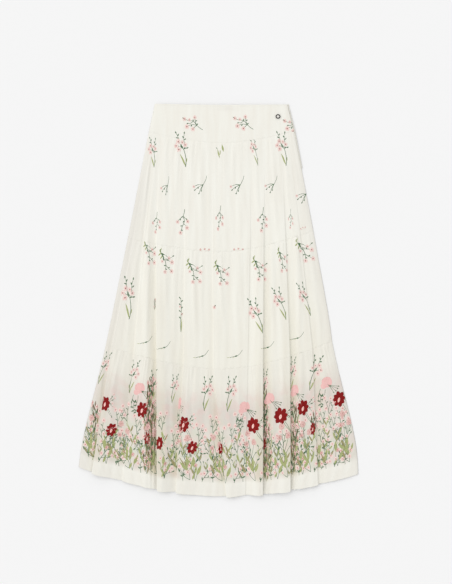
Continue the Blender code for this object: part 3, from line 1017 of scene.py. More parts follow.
# %% Fan and hanging sprigs
fan = Drawing("fan_sprig", "mauve")
fan.stem((0, 0), (1.6, 3.0), (3.0, 6.2), (3.6, 9.2), width=0.52)
fan.stem((0, 0), (-4.5, 0.3), (-9.2, -1.6))
fan.stem((0, 0), (-4.2, -1.8), (-7.8, -4.6))
fan.stem((0, 0), (-2.2, -3.6), (-3.9, -8.2))
fan.stem((0, 0), (-1.2, -2.8), (-1.8, -5.2))
fan.blossom(-9.4, -1.8, 1.5)
fan.buds((
    (0.3, 0.2, 200), (-7.6, -4.4, 230), (-3.8, -7.6, 250), (-1.8, -5, 265), (-4.6, -2.0, 250),
), 1.7, 1.0)
fan.finish()

hanging = Drawing("hanging_sprig", "mauve")
hanging.stem((0, 0), (-0.5, -3.6), (-1.6, -7), width=0.75)
hanging.stem((-1.6, -7), (-4.4, -9.2), (-6.8, -11.8))
hanging.stem((-1.6, -7), (-0.2, -12), (-2.4, -17), (-4.0, -22.6))
hanging.stem((-1.6, -7), (1.2, -9.4), (2.6, -11.6), width=0.50)
hanging.stem((-1.0, -14.6), (1.2, -16.4), (2.2, -18), width=0.50)
hanging.blossoms((
    (-7.2, -12.6, 1.6), (3.0, -12.2, 1.7), (2.4, -18.6, 1.9), (-4.3, -23.4, 1.8),
), SPRIG_BLOSSOM)
hanging.buds((
    (-1.5, -7, 210), (-4.2, -9, 260), (-2.2, -16.4, 190), (-3.6, -20, 310), (-0.4, -11.5, 230),
    (0.8, -9.2, 330),
), 1.9, 1.0)
hanging.finish()

# %% Posy of the middle tier
posy = Drawing("hanging_posy", "mauve")
posy.stem((-1.0, 4.0), (0, 0), (2.4, -4.6), (4.5, -8), width=0.85)
posy.stem((4.5, -8), (5.2, -12.6), (4.4, -18.2))
posy.stem((5.0, -12.0), (7.8, -15.0), (11.0, -17.8))
posy.stem((3.4, -6.4), (7.4, -7.4), (11.4, -8.6))
posy.stem((2.2, -4.2), (7.2, -6.2), (12.6, -3.4), width=0.52)
posy.stem((0.6, -1.2), (4.2, -1.6), (7.0, -4.0), width=0.52)
posy.leaves((
    (0, 0, 330, 4.2), (0.4, -0.6, 300, 4.4), (2.2, -4.4, 280, 3.4),
), 1.6, 8, "dark_green", 5)
posy.leaves((
    (0, 0, 215, 4.0, 1.7), (0, 0, 118, 3.6, 1.5), (-0.6, 2.0, 70, 3.6, 1.1),
    (1.4, -2.6, 232, 4.2, 1.6),
), 8)
posy.blossoms((
    (4.2, -18.8, 1.8), (11.4, -18.2, 1.9), (11.8, -9.2, 2.0), (8.6, -5.0, 1.5), (1.2, -8.2, 1.4),
), SPRIG_BLOSSOM)
posy.buds((
    (5, -12, 200), (7.6, -14.8, 20), (7.2, -7.4, 70), (12.4, -3.4, 30), (4.6, -15.5, 330),
), 1.8, 1.0)
posy.finish()

# %% Twig, bud stem, leaf pair and small blossoms
twig = Drawing("small_twig")
twig.stem((-6.8, -1.5), (-3.4, -0.6), (0, 0), (3.2, 2.4), (5.6, 6.2), width=0.50)
twig.bud(0.9, 0.6, 202, 2.6, 1.3)
twig.leaf(-6.6, -1.5, 186, 3.6, 0.5, -14)
twig.leaf(-2.2, -0.6, 214, 2.2, 0.5)
twig.finish()

lone = Drawing("bud_stem")
lone.stem((0, 0), (-0.7, 10), (0.5, 21), (-0.3, 34), width=0.70)
lone.leaf(0.2, 0.4, 84, 13, 1.5, 6, "lime", 7)
for k in range(7):
    lone.bud(-0.3 + 0.4 * (k % 2), 13.5 + 3.3 * k, 90 + 48 * (-1) ** k, 2.4, 1.1)
lone.blossom(1.2, 17.8, 1.3)
lone.blossom(-1.1, 25.4, 1.2)
lone.finish()

leaves = Drawing("leaf_pair")
leaves.leaf(0, 0, 108, 9.5, 1.7, -6)
leaves.leaf(0, 3, 80, 5.5, 1.2, 10)
leaves.leaf(4.2, 6.6, 104, 7.5, 2.2, 4)
leaves.leaf(-2.6, 9.2, 128, 2.2, 0.9, 0, "dark_green", 4)
leaves.finish()

tip = Drawing("single_blossom")
tip.blossom(0, 0, 2.0)
tip.bud(0.3, 0.4, 60, 1.8, 1.1)
tip.finish()

trim = Drawing("seam_blossoms", "rose")
for k in range(3):
    trim.blossom(-4.5 + 4.3 * k, 0.5 * (k % 2), 1.15, "rose", 30 * k, 4)
trim.stem((-5.5, -0.6), (-2, -1.6), (2, -1.2), (4.8, 0.4), width=0.25, thread="rose")
trim.finish()

# %% [markdown]
# ## Border flowers
#
# The border above the hem is a meadow. Its largest flowers are red, with pointed petals about
# a pale heart. Between them stand pale pink bells, with fine filaments that fan out to one side.
# Lime leaves, dark twigs and rose blossoms on thin stems fill the ground below.

# %% Red flower
FLOWER_AXIS = 75
red = Drawing("red_flower")
for k in range(8):
    angle = 12 + 45 * k
    reach = 6.7 + 1.7 * math.cos(math.radians(angle - FLOWER_AXIS)) ** 2
    foot = turned(angle) * 1.2
    red.leaf(*foot, angle, reach - 1.2, 5.0, 0, "red", 7, 1.30, 0.8, 0.00030 + 0.00003 * (k % 3))
    for side in (-1, 1):
        shoulder = turned(angle + 9 * side) * 2.6
        red.leaf(*shoulder, angle + 14 * side, (reach - 2.6) * 0.86, 2.6, 0, "red", 5, 1.5)
red.leaf(-3.6, 0, 0, 7.2, 7.2, 0, "red", 7, 1.0, 0.5)
red.leaf(-1.1, -3.3, 71, 5.0, 2.5, 0, "flower_heart", 7, 1.0, 0.55, 0.00052, 0.00040)
red.leaf(-0.2, -1.7, 74, 2.4, 0.6, 0, "deep_rose", 5, 0.9, 0.8, 0.00060, 0.00048)
red.finish()

# %% Pink bell
bell = Drawing("pink_bell")
bell.leaf(-4.3, -2.2, 56, 11.2, 11.2, 0, "pale_pink", 9, 1.0, 0.5)
bell.leaf(-2.0, 0.4, 214, 6.2, 6.0, 10, "pale_pink", 8, 1.0, 0.4)
bell.stem((-5.2, 5.4), (-3.0, 2.8), (0, 0), width=0.60)
for x, y in ((9.6, -1.4), (8.8, -3.4), (7.2, -5.4), (5.2, -6.8)):
    bell.stem((0, 0), (x * 0.5, y * 0.35 - 0.4), (x, y), width=0.55)
    bell.bud(x, y, math.degrees(math.atan2(y, x)), 1.7, 1.0)
bell.bud(-0.8, 0.6, 320, 3.2, 1.9)
bell.stem((-7.6, -4.4), (-9.0, -9.5), (-9.6, -13.5), (-8.8, -18), width=0.46)
bell.stem((-2.8, -4.8), (-3.2, -9), (-4.4, -13.5), (-6.2, -17), width=0.46)
bell.stem((-6.6, -10.5), (-7.4, -15), (-7.0, -21), (-7.8, -27), width=0.50)
bell.leaves((
    (-6.9, -12.4, 52, 4.0, 1.7), (-7.0, -11.6, 118, 3.8, 1.6), (-7.3, -15.2, 12, 3.4, 1.5),
    (-7.3, -16.6, 172, 3.6, 1.6), (-7.1, -18.8, 330, 3.0, 1.5), (-7.1, -19.6, 205, 3.2, 1.5),
    (-9.7, -13.0, 75, 3.0, 1.4), (-4.3, -12.6, 110, 3.0, 1.4), (-7.2, -23.0, 40, 3.4, 1.5),
), 10, "dark_green", 4)
bell.finish()

# %% Spray beside a red flower
spray = Drawing("side_spray")
for x, y in ((11.8, 9.2), (13.2, 5.4), (9.8, -0.2), (11.6, -4.0)):
    spray.stem((4.2, 0.6), (x * 0.62, y * 0.45 + 0.8), (x, y), width=0.46)
    spray.blossom(x + 0.6, y + 0.5, 1.5, "pink", 40 * x)
spray.buds(((8, 4.4, 70), (9.4, 3.6, 10), (7.6, 0.8, 300), (10.4, 6.6, 120)), 1.9, 0.9)
spray.stem((2.6, -5.6), (5.4, -10), (8.6, -13.4), width=0.50)
spray.stem((4.0, -5.0), (6.6, -8.6), (9.2, -13.8), width=0.50)
spray.bud(8.6, -12.8, 290, 2.2, 1.0)
spray.finish()

# %% [markdown]
# ## Meadow plants
#
# Six plants alternate along the hem, so the border looks grown and not ruled. A tall one has a
# fan of leaves and three rose blossoms, a leafy one ends in a dark twig, a small one bears pale
# blossoms, and a slanting one leans to the right. A forked one has no foot of its own: it
# reaches up from the middle of the others. Tufts of thin leaves fill the gaps low down.

# %% Tall and leafy plants
tall = Drawing("meadow_tall")
tall.stem((0, 0), (-0.3, 5), (-2.2, 11), (-4.6, 20), (-6.2, 31), (-8.2, 44), width=0.50)
tall.stem((0, 0), (-4, 2.2), (-8, 5.6), (-10.4, 8.6), width=0.55)
tall.stem((-5.0, 22), (-2.6, 31), (-1.4, 37), width=0.46)
tall.stem((-4.4, 19), (-8.6, 28), (-10, 34), width=0.46)
tall.stem((-1.6, 14), (-4.5, 24), (-10, 28), (-15.5, 30.2), width=0.55)
tall.stem((-3.4, 20), (-1.4, 25.5), (0.6, 28.6), width=0.50)
tall.leaves((
    (-10.0, 7.8, 115, 4.2, 1.9), (-6.8, 4.8, 70, 3.0, 1.4), (-15.3, 30.3, 150, 3.0, 1.5),
    (-10, 28.4, 258, 4.6, 2.3), (-12.6, 29.2, 60, 2.6, 1.3), (0.4, 28.2, 52, 2.8, 1.3),
), 0, "dark_green", 4)
tall.leaves((
    (-1.2, 8.6, 139, 12.5, 3.8, -8), (-2.4, 11.0, 94, 13.0, 3.6, -4), (0.2, 9.0, 68, 10.5, 3.0, 6),
))
tall.leaf(-4.6, 13.5, 128, 10.0, 1.8, -6, "olive")
tall.blossom(-8.6, 47.6, 3.3, "rose", 10, 7)
tall.blossom(-1.2, 39.6, 3.3, "rose", 30, 7)
tall.blossom(-10.4, 36.6, 2.9, "rose", 0, 7)
tall.finish()

leafy = Drawing("meadow_leafy")
leafy.stem((-0.5, -1), (0.8, 4), (4.4, 11), (5.6, 17), (2.2, 20.6), width=0.50)
leafy.stem((2.2, 20.6), (4.6, 23.4), (7.6, 25.6), width=0.52)
leafy.stem((-0.5, -1), (-2.6, 6), (-2.2, 13), width=0.42)
leafy.leaves((
    (7.4, 25.6, 160, 3.3, 1.6), (7.8, 25.4, 12, 3.5, 1.6), (2.6, 21.0, 225, 3.0, 1.7),
), 0, "dark_green", 4)
leafy.leaves((
    (1.0, 5.0, 60, 10.5, 3.9, 8), (-3.8, 0.6, 66, 6.6, 2.9, 0), (-2.2, 13.0, 92, 10.0, 4.0, 0),
))
leafy.blossom(-0.6, 14.6, 2.3, "rose", 20, 6)
leafy.blossom(-6.0, 20.6, 2.0)
leafy.blossom(5.6, 5.8, 1.8)
leafy.finish()

# %% Small and slanting plants
low = Drawing("meadow_sprig")
low.stem((0, -1.4), (-0.3, 3), (0.4, 8), (2.4, 13), (3.6, 18), width=0.55)
low.stem((-0.2, 5), (-2.2, 8.4), (-3.6, 11.4), width=0.46)
low.stem((0.4, 8), (3, 9.8), (5.8, 12), width=0.46)
low.stem((0, 3.6), (2.4, 4.4), (4.2, 6), width=0.46)
low.blossoms(((-3.9, 12.4, 2.5), (6.4, 12.8, 2.7), (4.9, 6.6, 2.4), (3.8, 19.4, 1.7)))
low.leaves((
    (-0.2, 2.6, 150, 3.2, 1.5), (-0.3, 3, 40, 2.8, 1.4), (1.8, 12, 140, 2.8, 1.3),
    (2.8, 15, 20, 2.6, 1.3),
), 0, "dark_green", 4)
low.finish()

slant = Drawing("meadow_slant")
slant.stem((0, -1), (1.8, 2.4), (6, 8), (11.6, 15), (13, 21), (11.6, 28), width=0.70)
slant.stem((2.4, 3), (6, 3.2), (10, 3.0), width=0.55)
slant.stem((12.8, 20), (15.0, 24), (15.8, 30), width=0.50)
slant.leaves((
    (0.4, 0.4, 100, 3.4, 1.7), (9.6, 3.0, 15, 3.2, 1.4), (6.6, 3.2, 75, 2.8, 1.3),
    (6.2, 8.4, 102, 3.6, 1.6), (8.4, 11, 350, 3.4, 1.6), (10, 13.4, 112, 3.4, 1.5),
    (12.2, 17, 20, 3.2, 1.5), (12.4, 22, 150, 3.2, 1.4), (15, 24.6, 30, 2.8, 1.3),
    (11.8, 27.6, 100, 2.8, 1.3),
), 0, "dark_green", 4)
slant.leaf(14.0, 7.4, 122, 11.0, 3.4, -8, "olive")
slant.leaf(13.6, 13.6, 74, 9.0, 3.0, 8)
slant.blossoms(((2.2, 7.4, 2.4), (9.8, 7.0, 2.3), (16.2, 31.6, 2.2), (10.8, 30.0, 2.0)))
slant.finish()

# %% Fork and tuft
fork = Drawing("meadow_fork")
fork.stem((5, -14), (2.6, -6), (0, 0), width=0.80, thread="lime")
fork.stem((0, 0), (-3, 5), (-5.8, 10.6), width=0.62)
fork.stem((0, 0), (1.2, 8), (3.4, 15.6), width=0.62)
fork.stem((0.6, 5), (-1.2, 10), (-2.4, 14.4), width=0.50)
fork.buds((
    (-1.8, 3.2, 160), (-4.4, 8.2, 60), (0.9, 6.4, 30), (2.2, 11.8, 130), (-1.6, 11.6, 170),
), 2.6, 0.8)
fork.leaf(3.6, -9.4, 122, 8.6, 2.7, -6)
fork.leaf(4.0, -11.0, 60, 7.4, 2.3, 6, "olive")
fork.blossoms(((-6.8, 12.4, 2.4), (4.2, 17.6, 2.6), (-3.0, 16.6, 2.4)))
fork.finish()

grass = Drawing("meadow_grass")
grass.stem((0, -2), (0.7, 3), (2.2, 8), (2.6, 12.5), width=0.52)
grass.stem((0.5, 2), (-1.6, 5.4), (-2.4, 9.6), width=0.46)
grass.leaf(0.4, 0.6, 62, 7.4, 2.1, 10)
grass.leaf(0.2, 0.2, 120, 6.4, 1.9, -10, "olive", 5)
grass.leaf(1.6, 6.2, 118, 4.6, 1.5, 0, "lime", 5)
grass.leaf(2.5, 11, 48, 3.4, 1.4, 8, "dark_green", 4)
grass.leaf(-2.3, 8.8, 100, 3.0, 1.3, 0, "dark_green", 4)
grass.finish()

# %% Leaves that lie inside a fold
inner = Drawing("fold_leaves")
inner.stem((0, -6), (1, 0), (0, 8), (1.4, 16), width=0.80)
inner.leaves(((0.4, -3, 60, 9.0, 2.6), (0.2, 2, 120, 9.0, 2.8)), 6, "dark_green")
# The umber leaves are painted shade: leaves that lie in a fold's shadow, stitched dark brown.
inner.leaves(((0.4, 7, 66, 8.0, 2.4), (-3.0, -4, 96, 7.0, 2.2)), 6, "umber")
inner.leaves((
    (3.0, 0, 84, 9.0, 2.6), (-3.4, 5, 104, 8.6, 2.4), (4.4, 8, 98, 7.0, 2.2),
    (0, 11, 112, 7.0, 2.2),
), -6, "umber")
inner.leaf(-1.4, -6, 104, 8.0, 2.4, 6, "olive")
inner.leaf(2.2, -4, 70, 7.0, 2.2, -6, "olive")
inner.blossom(-4.0, 1.0, 2.4, "rose", 0, 6)
inner.blossom(4.6, 15.6, 2.4, "rose", 30, 6)
inner.finish()

# %% [markdown]
# ## Where each motif goes
#
# The rows of sprigs rise towards the side seams as the tiers do, and the folds hide parts of
# them. Each place is the pixel of the picture where the motif's foot lies, with its turn in
# degrees, its width and size against the drawing, and whether it is mirrored. The narrow ones
# lie where the gathers draw the cloth together.

# %% Places of the motifs
Place = namedtuple("Place", "drawing px py turn wide size mirror", defaults=(0, 1.0, 1.0, False))
HEM_GROUND = 15
GROUND_WIDTH = 0.92


def hem_line(px):
    """The picture row of the hem at this picture column."""
    x = np.array((px - WAIST_PIXEL[0]) * PIXEL)
    return float(WAIST_PIXEL[1] - lifted(x, HEM) / PIXEL)


OVER_SEAM = (185.6, 167.0, 0, 0.98, 1.02, True), (285.9, 166.0, 0, 0.92, 1.00, True)
places = {tier.name: [] for tier in TIERS}


def sow(tier, drawing, *rows):
    """Adds places of one motif to a tier: px, py and, where they aren't plain, the rest."""
    places[tier] += [Place(drawing, *row) for row in rows]


sow("yoke", "yoke_bouquet", (202.8, 130.0), (253.3, 129.4), (303.0, 132.0))
sow("yoke", "tall_sprig", *OVER_SEAM)
sow(
    "upper_tier", "tall_sprig",
    (154.0, 167.5, -5, 0.80, 0.86, True), OVER_SEAM[0],
)
sow("upper_tier", "leaf_pair", (219.8, 158.4, 0, 0.95, 1.0))
sow(
    "upper_tier", "tall_sprig",
    (257.8, 165.6, 6, 0.62, 0.88, True), OVER_SEAM[1],
)
sow(
    "upper_tier", "fan_sprig",
    (167.6, 185.6, 8, 0.72), (203.1, 185.0), (240.3, 185.0), (273.9, 184.4, 0, 0.95, 0.95),
    (306.0, 194.2),
)
sow(
    "upper_tier", "hanging_sprig",
    (157.4, 212.0, 4, 0.85, 0.85), (184.7, 209.4), (220.8, 205.6, 0, 0.65), (263.3, 207.2, 4, 0.85),
    (290.6, 208.9, 4, 0.50, 0.80),
)
sow("upper_tier", "seam_blossoms", (205.0, 249.6), (238.6, 249.4), (303.0, 228.0, 20, 0.8, 0.7))
sow(
    "middle_tier", "hanging_posy",
    (145.6, 244.6, 0, 0.80), (161.3, 253.2, 0, 0.92), (188.8, 263.2), (216.3, 265.0, 0, 0.95),
    (254.4, 260.6), (278.8, 252.0, 0, 0.70), (297.6, 243.2, 12, 1.10),
)
sow("middle_tier", "tall_sprig", (129.2, 319.2, -8, 0.85, 1.22, True))
sow("middle_tier", "bud_stem", (181.0, 332.0, 0, 0.85, 1.0))
sow("middle_tier", "fold_leaves", (154.8, 307.0, 0, 0.30, 0.50))
sow("middle_tier", "single_blossom", (214.2, 307.2))
sow(
    "middle_tier", "tall_sprig",
    (262.4, 333.2, 9, 0.92, 1.06, True), (285.8, 319.6, 10, 0.85, 0.98, True),
    (310.6, 315.8, 13, 0.70, 1.02, True),
)
sow(
    "middle_tier", "small_twig",
    (147.0, 342.0), (165.0, 347.4), (203.0, 356.0), (236.7, 356.0), (268.4, 347.3), (298.0, 338.0),
)
sow(
    "hem_tier", "tall_sprig",
    (98.4, 384.0, -13, 0.72, 0.98), (129.4, 393.0, -6, 0.80, 0.98), (172.2, 402.2, 0, 0.78, 0.82),
    (204.4, 410.6, 2, 0.92, 1.0), (227.5, 411.0, 0, 0.85, 1.02), (262.8, 403.0, 0, 0.50, 1.0),
    (290.6, 391.0, 0, 0.55, 1.0), (309.6, 390.0, -7, 0.92, 1.05), (150.8, 404.0, 0, 0.9, 1.0),
)
sow(
    "hem_tier", "pink_bell",
    (141.1, 390.0), (180.6, 404.8, 0, 0.34, 0.95), (245.9, 409.0), (270.6, 400.0),
    (295.8, 392.2, 0, 0.75), (327.8, 384.4),
)
RED_FLOWERS = (
    (105.3, 402.8, 0, 0.80, 0.92), (142.2, 408.9, 0, 0.82, 1.0), (183.6, 423.6, 0, 0.85, 1.0),
    (253.3, 424.4, 0, 1.0, 1.0), (280.6, 414.7, 0, 1.0, 1.04), (302.8, 406.7, 0, 0.86, 1.0),
    (338.9, 398.7, 0, 0.92, 1.0), (111.7, 428.7, -6, 0.98, 0.85), (159.8, 441.0, 0, 0.60, 0.85),
    (192.4, 446.7, -8, 0.95, 0.84), (221.3, 448.3, 0, 0.56, 0.80), (312.6, 427.8, 0, 0.46, 0.84),
    (263.4, 443.3, 0, 0.60, 0.80), (147.4, 437.0, 0, 0.60, 0.80),
)
for px, py, turn, wide, size in RED_FLOWERS:
    sow("hem_tier", "side_spray", (px, py, turn, wide, size))
    sow("hem_tier", "red_flower", (px, py, turn, wide, size))
GROUND_PLANTS = (
    ("meadow_tall", (94.0, 130.0, 156.6, 190.0, 222.2, 255.2, 287.2, 310.5, 349.4)),
    ("meadow_leafy", (107.0, 133.0, 165.0, 196.0, 226.0, 262.0, 278.0, 303.0, 322.0, 338.0)),
    ("meadow_sprig", (89.0, 119.0, 141.0, 183.0, 213.0, 243.0, 271.0, 299.0, 326.0, 345.0)),
    ("meadow_slant", (99.0, 116.0, 164.0, 202.0, 234.0, 260.0, 289.0, 314.0, 334.0)),
)
for drawing, columns in GROUND_PLANTS:
    for px in columns:
        turn = 3 * math.sin(px * 1.7)
        size = 0.98 + 0.07 * math.sin(px * 0.9)
        ground = hem_line(px) - HEM_GROUND
        sow("hem_tier", drawing, (px, ground, turn, GROUND_WIDTH, size))

# %% Forks, tufts and leaves in the folds
FORKS = (
    (89, 440), (93, 422), (102, 436), (118, 426), (127, 421), (137, 432), (141, 452), (124, 447),
    (162, 428), (174, 447), (180, 438), (199, 441), (209, 452), (213, 433), (222, 444), (232, 441),
    (237, 452), (240, 430), (262, 438), (272, 452), (283, 446), (297, 442), (303, 436), (315, 430),
    (323, 425), (321, 442), (333, 430), (341, 424), (339, 440), (347, 434), (110, 444), (96, 446),
    (152, 446), (190, 455), (247, 455), (329, 414),
)
for k, (px, py) in enumerate(FORKS):
    sow("hem_tier", "meadow_fork", (px, py, 5 * math.sin(px), GROUND_WIDTH, 0.95, k % 2 == 1))
GRASS_STEP = 5.9
GRASS_REACH = (2, 26)
for k, px in enumerate(np.arange(88, 352, GRASS_STEP)):
    lift = mix(*GRASS_REACH, (k * 0.618) % 1)
    turn = 9 * math.sin(px * 2.3)
    size = 0.95 + 0.2 * math.sin(px * 1.3)
    ground = hem_line(px) - HEM_GROUND - lift
    sow("hem_tier", "meadow_grass", (px, ground, turn, 0.95, size, k % 2 == 1))
SLOPES = (
    (147.0, 458, 0.35), (150.0, 462, 0.30), (153.0, 455, 0.35), (149.0, 436, 0.35),
    (152.5, 430, 0.30), (265.0, 462, 0.35), (267.5, 458, 0.30), (266.0, 436, 0.35),
    (292.0, 458, 0.35), (295.0, 455, 0.30), (294.0, 432, 0.35),
)
for k, (px, py, wide) in enumerate(SLOPES):
    sow("hem_tier", "meadow_slant", (px, py, 0, wide, 1.0, k % 2 == 1))
    sow("hem_tier", "meadow_fork", (px + 1.2, py - 12, 0, wide, 1.0, k % 2 == 0))
FOLD_LEAVES = (
    (151.5, 394), (149.5, 414), (151.0, 438), (148.5, 450), (150.5, 462), (146.5, 466),
    (153.5, 448), (265.5, 418), (267.0, 440), (265.0, 456), (268.0, 466), (266.0, 474),
    (293.5, 420), (295.5, 438), (293.0, 448), (296.0, 458), (292.5, 468), (264.6, 402),
    (150.8, 426), (153.0, 432), (149.0, 404), (147.5, 442), (262.5, 444), (264.5, 430), (93.0, 430),
    (96.0, 418), (313.0, 428), (149.5, 398), (152.0, 418), (148.5, 434), (151.5, 444), (149.5, 456),
    (152.0, 462), (147.0, 424), (265.5, 446),
)
for k, (px, py) in enumerate(FOLD_LEAVES):
    sow("hem_tier", "fold_leaves", (px, py, 4 * math.sin(px), 0.55, 1.0, k % 2 == 1))

# %% Stitches along the seams
stitch = Drawing("seam_stitch")
stitch.leaf(-0.45, 0, 0, 0.9, 0.24, 0, "ivory_thread", 4)
stitch.finish()
STITCH_LINES = (
    (YOKE, 0.004, 0.0034), (YOKE, 0.0925, 0.0034), (UPPER, 0.2655, 0.0034),
    (MIDDLE, 0.2865, 0.0036), (HEM_TIER, 0.3015, 0.0048),
)
STITCH_MARGIN = 0.004
for tier, drop, pitch in STITCH_LINES:
    level = between(tier, drop / (tier.bottom.drop - tier.top.drop))
    for x in np.arange(STITCH_MARGIN - level.left, level.right - STITCH_MARGIN, pitch):
        ends = lifted(np.array([x - 0.001, x, x + 0.001]), level)
        slope = math.degrees(math.atan2(ends[2] - ends[0], 0.002))
        px, py = WAIST_PIXEL[0] + x / PIXEL, WAIST_PIXEL[1] - ends[1] / PIXEL
        sow(tier.name, "seam_stitch", (px, py, slope))
print("motifs:", {name: len(rows) for name, rows in places.items()})

# %% [markdown]
# ## Laying the embroidery on the cloth
#
# A motif is not projected straight down, because then it would smear over the folds. Its
# distance across is measured along the cloth from its foot, and its distance down
# gives the row. So the stitches bend with the cloth, and part of a flower can lie inside a fold.
# Faces that run off the edge of a panel are cut away.

# %% Laying a motif on a panel
TIER_SLACK = 0.002


def row_start(panel, row, stretch, x):
    """How far along the cloth a place x lies on a row, measured within one stretch."""
    begin, end = panel.marks[stretch]
    edge = panel.net[row, begin : end + 1, 0] - WAIST_CENTRE.x
    along = panel.along[row, begin : end + 1]
    return np.interp(x, edge, along) + min(0, x - edge[0]) + max(0, x - edge[-1])


def lay(panel, points, place):
    """Takes the flat points of a motif to the panel, and says which run off its edges."""
    side = 1 if panel.side == "front" else -1
    scale = PIXEL * place.size
    x, y = points[:, 0] * place.wide * scale, points[:, 1] * scale
    along_x, along_y = turned(place.turn)
    dx, dy = (x * along_x - y * along_y) * side, x * along_y + y * along_x
    x0 = (place.px - WAIST_PIXEL[0]) * PIXEL * side
    y0 = (WAIST_PIXEL[1] - place.py) * PIXEL
    share = share_at(panel.tier, x0 + dx, y0 + dy)
    rows = np.arange(len(panel.shares))
    position = np.interp(share, panel.shares, rows)
    first = np.minimum(position.astype(int), rows[-1] - 1)
    part = position - first
    foot = share_at(panel.tier, np.array([x0]), np.array([y0]))[0]
    stretch = panel.stretch_at(x0, int(np.interp(foot, panel.shares, rows) + 0.5))
    placed, normals = np.zeros((len(x), 3)), np.zeros((len(x), 3))
    off = (share < -TIER_SLACK) | (share > 1 + TIER_SLACK)
    for row in range(first.min(), first.max() + 2):
        chosen = (first == row) | (first + 1 == row)
        weight = np.where(first[chosen] == row, 1 - part[chosen], part[chosen])[:, None]
        along = panel.along[row]
        distance = row_start(panel, row, stretch, x0) + dx[chosen]
        column = np.interp(distance, along, np.arange(len(along)))
        left = np.minimum(column.astype(int), len(along) - 2)
        step = (column - left)[:, None]
        for total, grid in ((placed, panel.net), (normals, panel.normals)):
            total[chosen] += weight * (grid[row, left] * (1 - step) + grid[row, left + 1] * step)
        off[chosen] |= (distance < along[0]) | (distance > along[-1])
    normals /= np.linalg.norm(normals, axis=1)[:, None]
    return placed + normals * (CLOTH / 2 + points[:, 2])[:, None], off


# %% Embroidery of each panel


def embroider(panel):
    """All the embroidery of one panel, as one piece."""
    bm = bmesh.new()
    spans = []
    for place in places[panel.tier.name]:
        start = len(bm.verts)
        bm.from_mesh(drawings[place.drawing][place.mirror])
        spans.append((place, start, len(bm.verts)))
    mesh = as_mesh(panel.name + "_embroidery", bm)
    points = vertex_places(mesh).astype(float)
    off = np.zeros(len(points), bool)
    for place, start, end in spans:
        points[start:end], off[start:end] = lay(panel, points[start:end], place)
    mesh.vertices.foreach_set("co", points.astype(np.float32).ravel())
    bm = bmesh.new()
    bm.from_mesh(mesh)
    bm.verts.ensure_lookup_table()
    spare = [face for face in bm.faces if all(off[vert.index] for vert in face.verts)]
    bmesh.ops.delete(bm, geom=spare, context="FACES")
    bm.to_mesh(mesh)
    bm.free()
    piece = add_piece(mesh.name, mesh, thread_materials)
    print(piece.name, "faces:", len(mesh.polygons), "cut away:", len(spare))


for panel in panels.values():
    embroider(panel)

# %% [markdown]
# ## Badge
#
# A small oval badge is sewn on near the side seam. Its dark rim is polished, and its floor is pale
# enamel, a little domed, with two stitches of thread. A disc and a ring would be two parts that
# only touch. One oval face is better: extruding gives its height, two insets give the rim and
# the floor, and a bevel rounds the edges.

# %% Badge
RIM_WIDTH = 0.0021
RIM_DEPTH = 0.0007
RIM_SLOPE = 0.0003
RIM_ROUND = 0.00025
DOME = (0.0012, 0.0002)
KNOT = (0.0011, 0.00030, 0.00030)
KNOT_GAP = 0.0010

badge_low, badge_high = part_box("waist_badge")
badge_middle = (badge_low + badge_high) / 2
badge_half = (badge_high - badge_low) / 2
bm = bmesh.new()
bmesh.ops.create_circle(bm, cap_ends=True, segments=48, radius=1)
bmesh.ops.scale(bm, vec=(badge_half.x, badge_half.y, 1), verts=bm.verts)
bmesh.ops.translate(bm, vec=(badge_middle.x, badge_middle.y, badge_low.z), verts=bm.verts)
raised = bmesh.ops.extrude_face_region(bm, geom=bm.faces[:], use_keep_orig=True)["geom"]
top = [part for part in raised if isinstance(part, bmesh.types.BMFace)]
bmesh.ops.translate(bm, vec=(0, 0, badge_high.z - badge_low.z), verts=top[0].verts)
bmesh.ops.recalc_face_normals(bm, faces=bm.faces)
bmesh.ops.inset_region(bm, faces=top, thickness=RIM_WIDTH, depth=0)
bmesh.ops.inset_region(bm, faces=top, thickness=RIM_SLOPE, depth=-RIM_DEPTH)
edges = [edge for edge in bm.edges if edge.calc_face_angle(0) > 0.5 and edge not in top[0].edges]
bmesh.ops.bevel(
    bm, geom=edges, offset=RIM_ROUND, segments=3, profile=0.5, material=-1, affect="EDGES")
level_faces = [face for face in bm.faces if face.normal.z > 0.99]
floor_face = max(level_faces, key=lambda face: len(face.verts))
dome = bmesh.ops.inset_region(bm, faces=[floor_face], thickness=DOME[0], depth=DOME[1])
for face in [floor_face, *dome["faces"]]:
    face.material_index = 1
for side in (-1, 1):
    knot = bmesh.ops.create_uvsphere(bm, u_segments=12, v_segments=6, radius=1)["verts"]
    bmesh.ops.scale(bm, vec=KNOT, verts=knot)
    middle = floor_face.calc_center_median()
    seat = (badge_middle.x, badge_middle.y + KNOT_GAP * side, middle.z)
    bmesh.ops.translate(bm, vec=seat, verts=knot)
    for face in {face for vert in knot for face in vert.link_faces}:
        face.material_index = 2
badge_mesh = as_mesh("badge", bm)
badge_mesh.shade_smooth()

# %% Badge finishes
RIM_DARK = (0.020, 0.018, 0.018, 1)
RIM_RUBBED = (0.060, 0.052, 0.048, 1)

rim = Finish("badge_rim", 0.28, 0.85)
rub = rim.grain(900, 900, 900, detail=3.0)
rim.feed("Base Color", rim.blend(rub.limited(0.4, 0.7), RIM_DARK, RIM_RUBBED))
rim.feed("Roughness", 0.20 + rub * 0.22)
enamel = Finish("badge_enamel", 0.25)
tint = enamel.grain(500, 500, 500)
enamel.feed("Base Color", enamel.blend(tint, (0.78, 0.76, 0.72, 1), (0.66, 0.63, 0.58, 1)))
enamel.set(Coat_Weight=0.6)
badge = add_piece("badge", badge_mesh, [rim.material, enamel.material, thread_materials[-1]])
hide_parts("waist_badge")
print("badge faces:", len(badge_mesh.polygons))

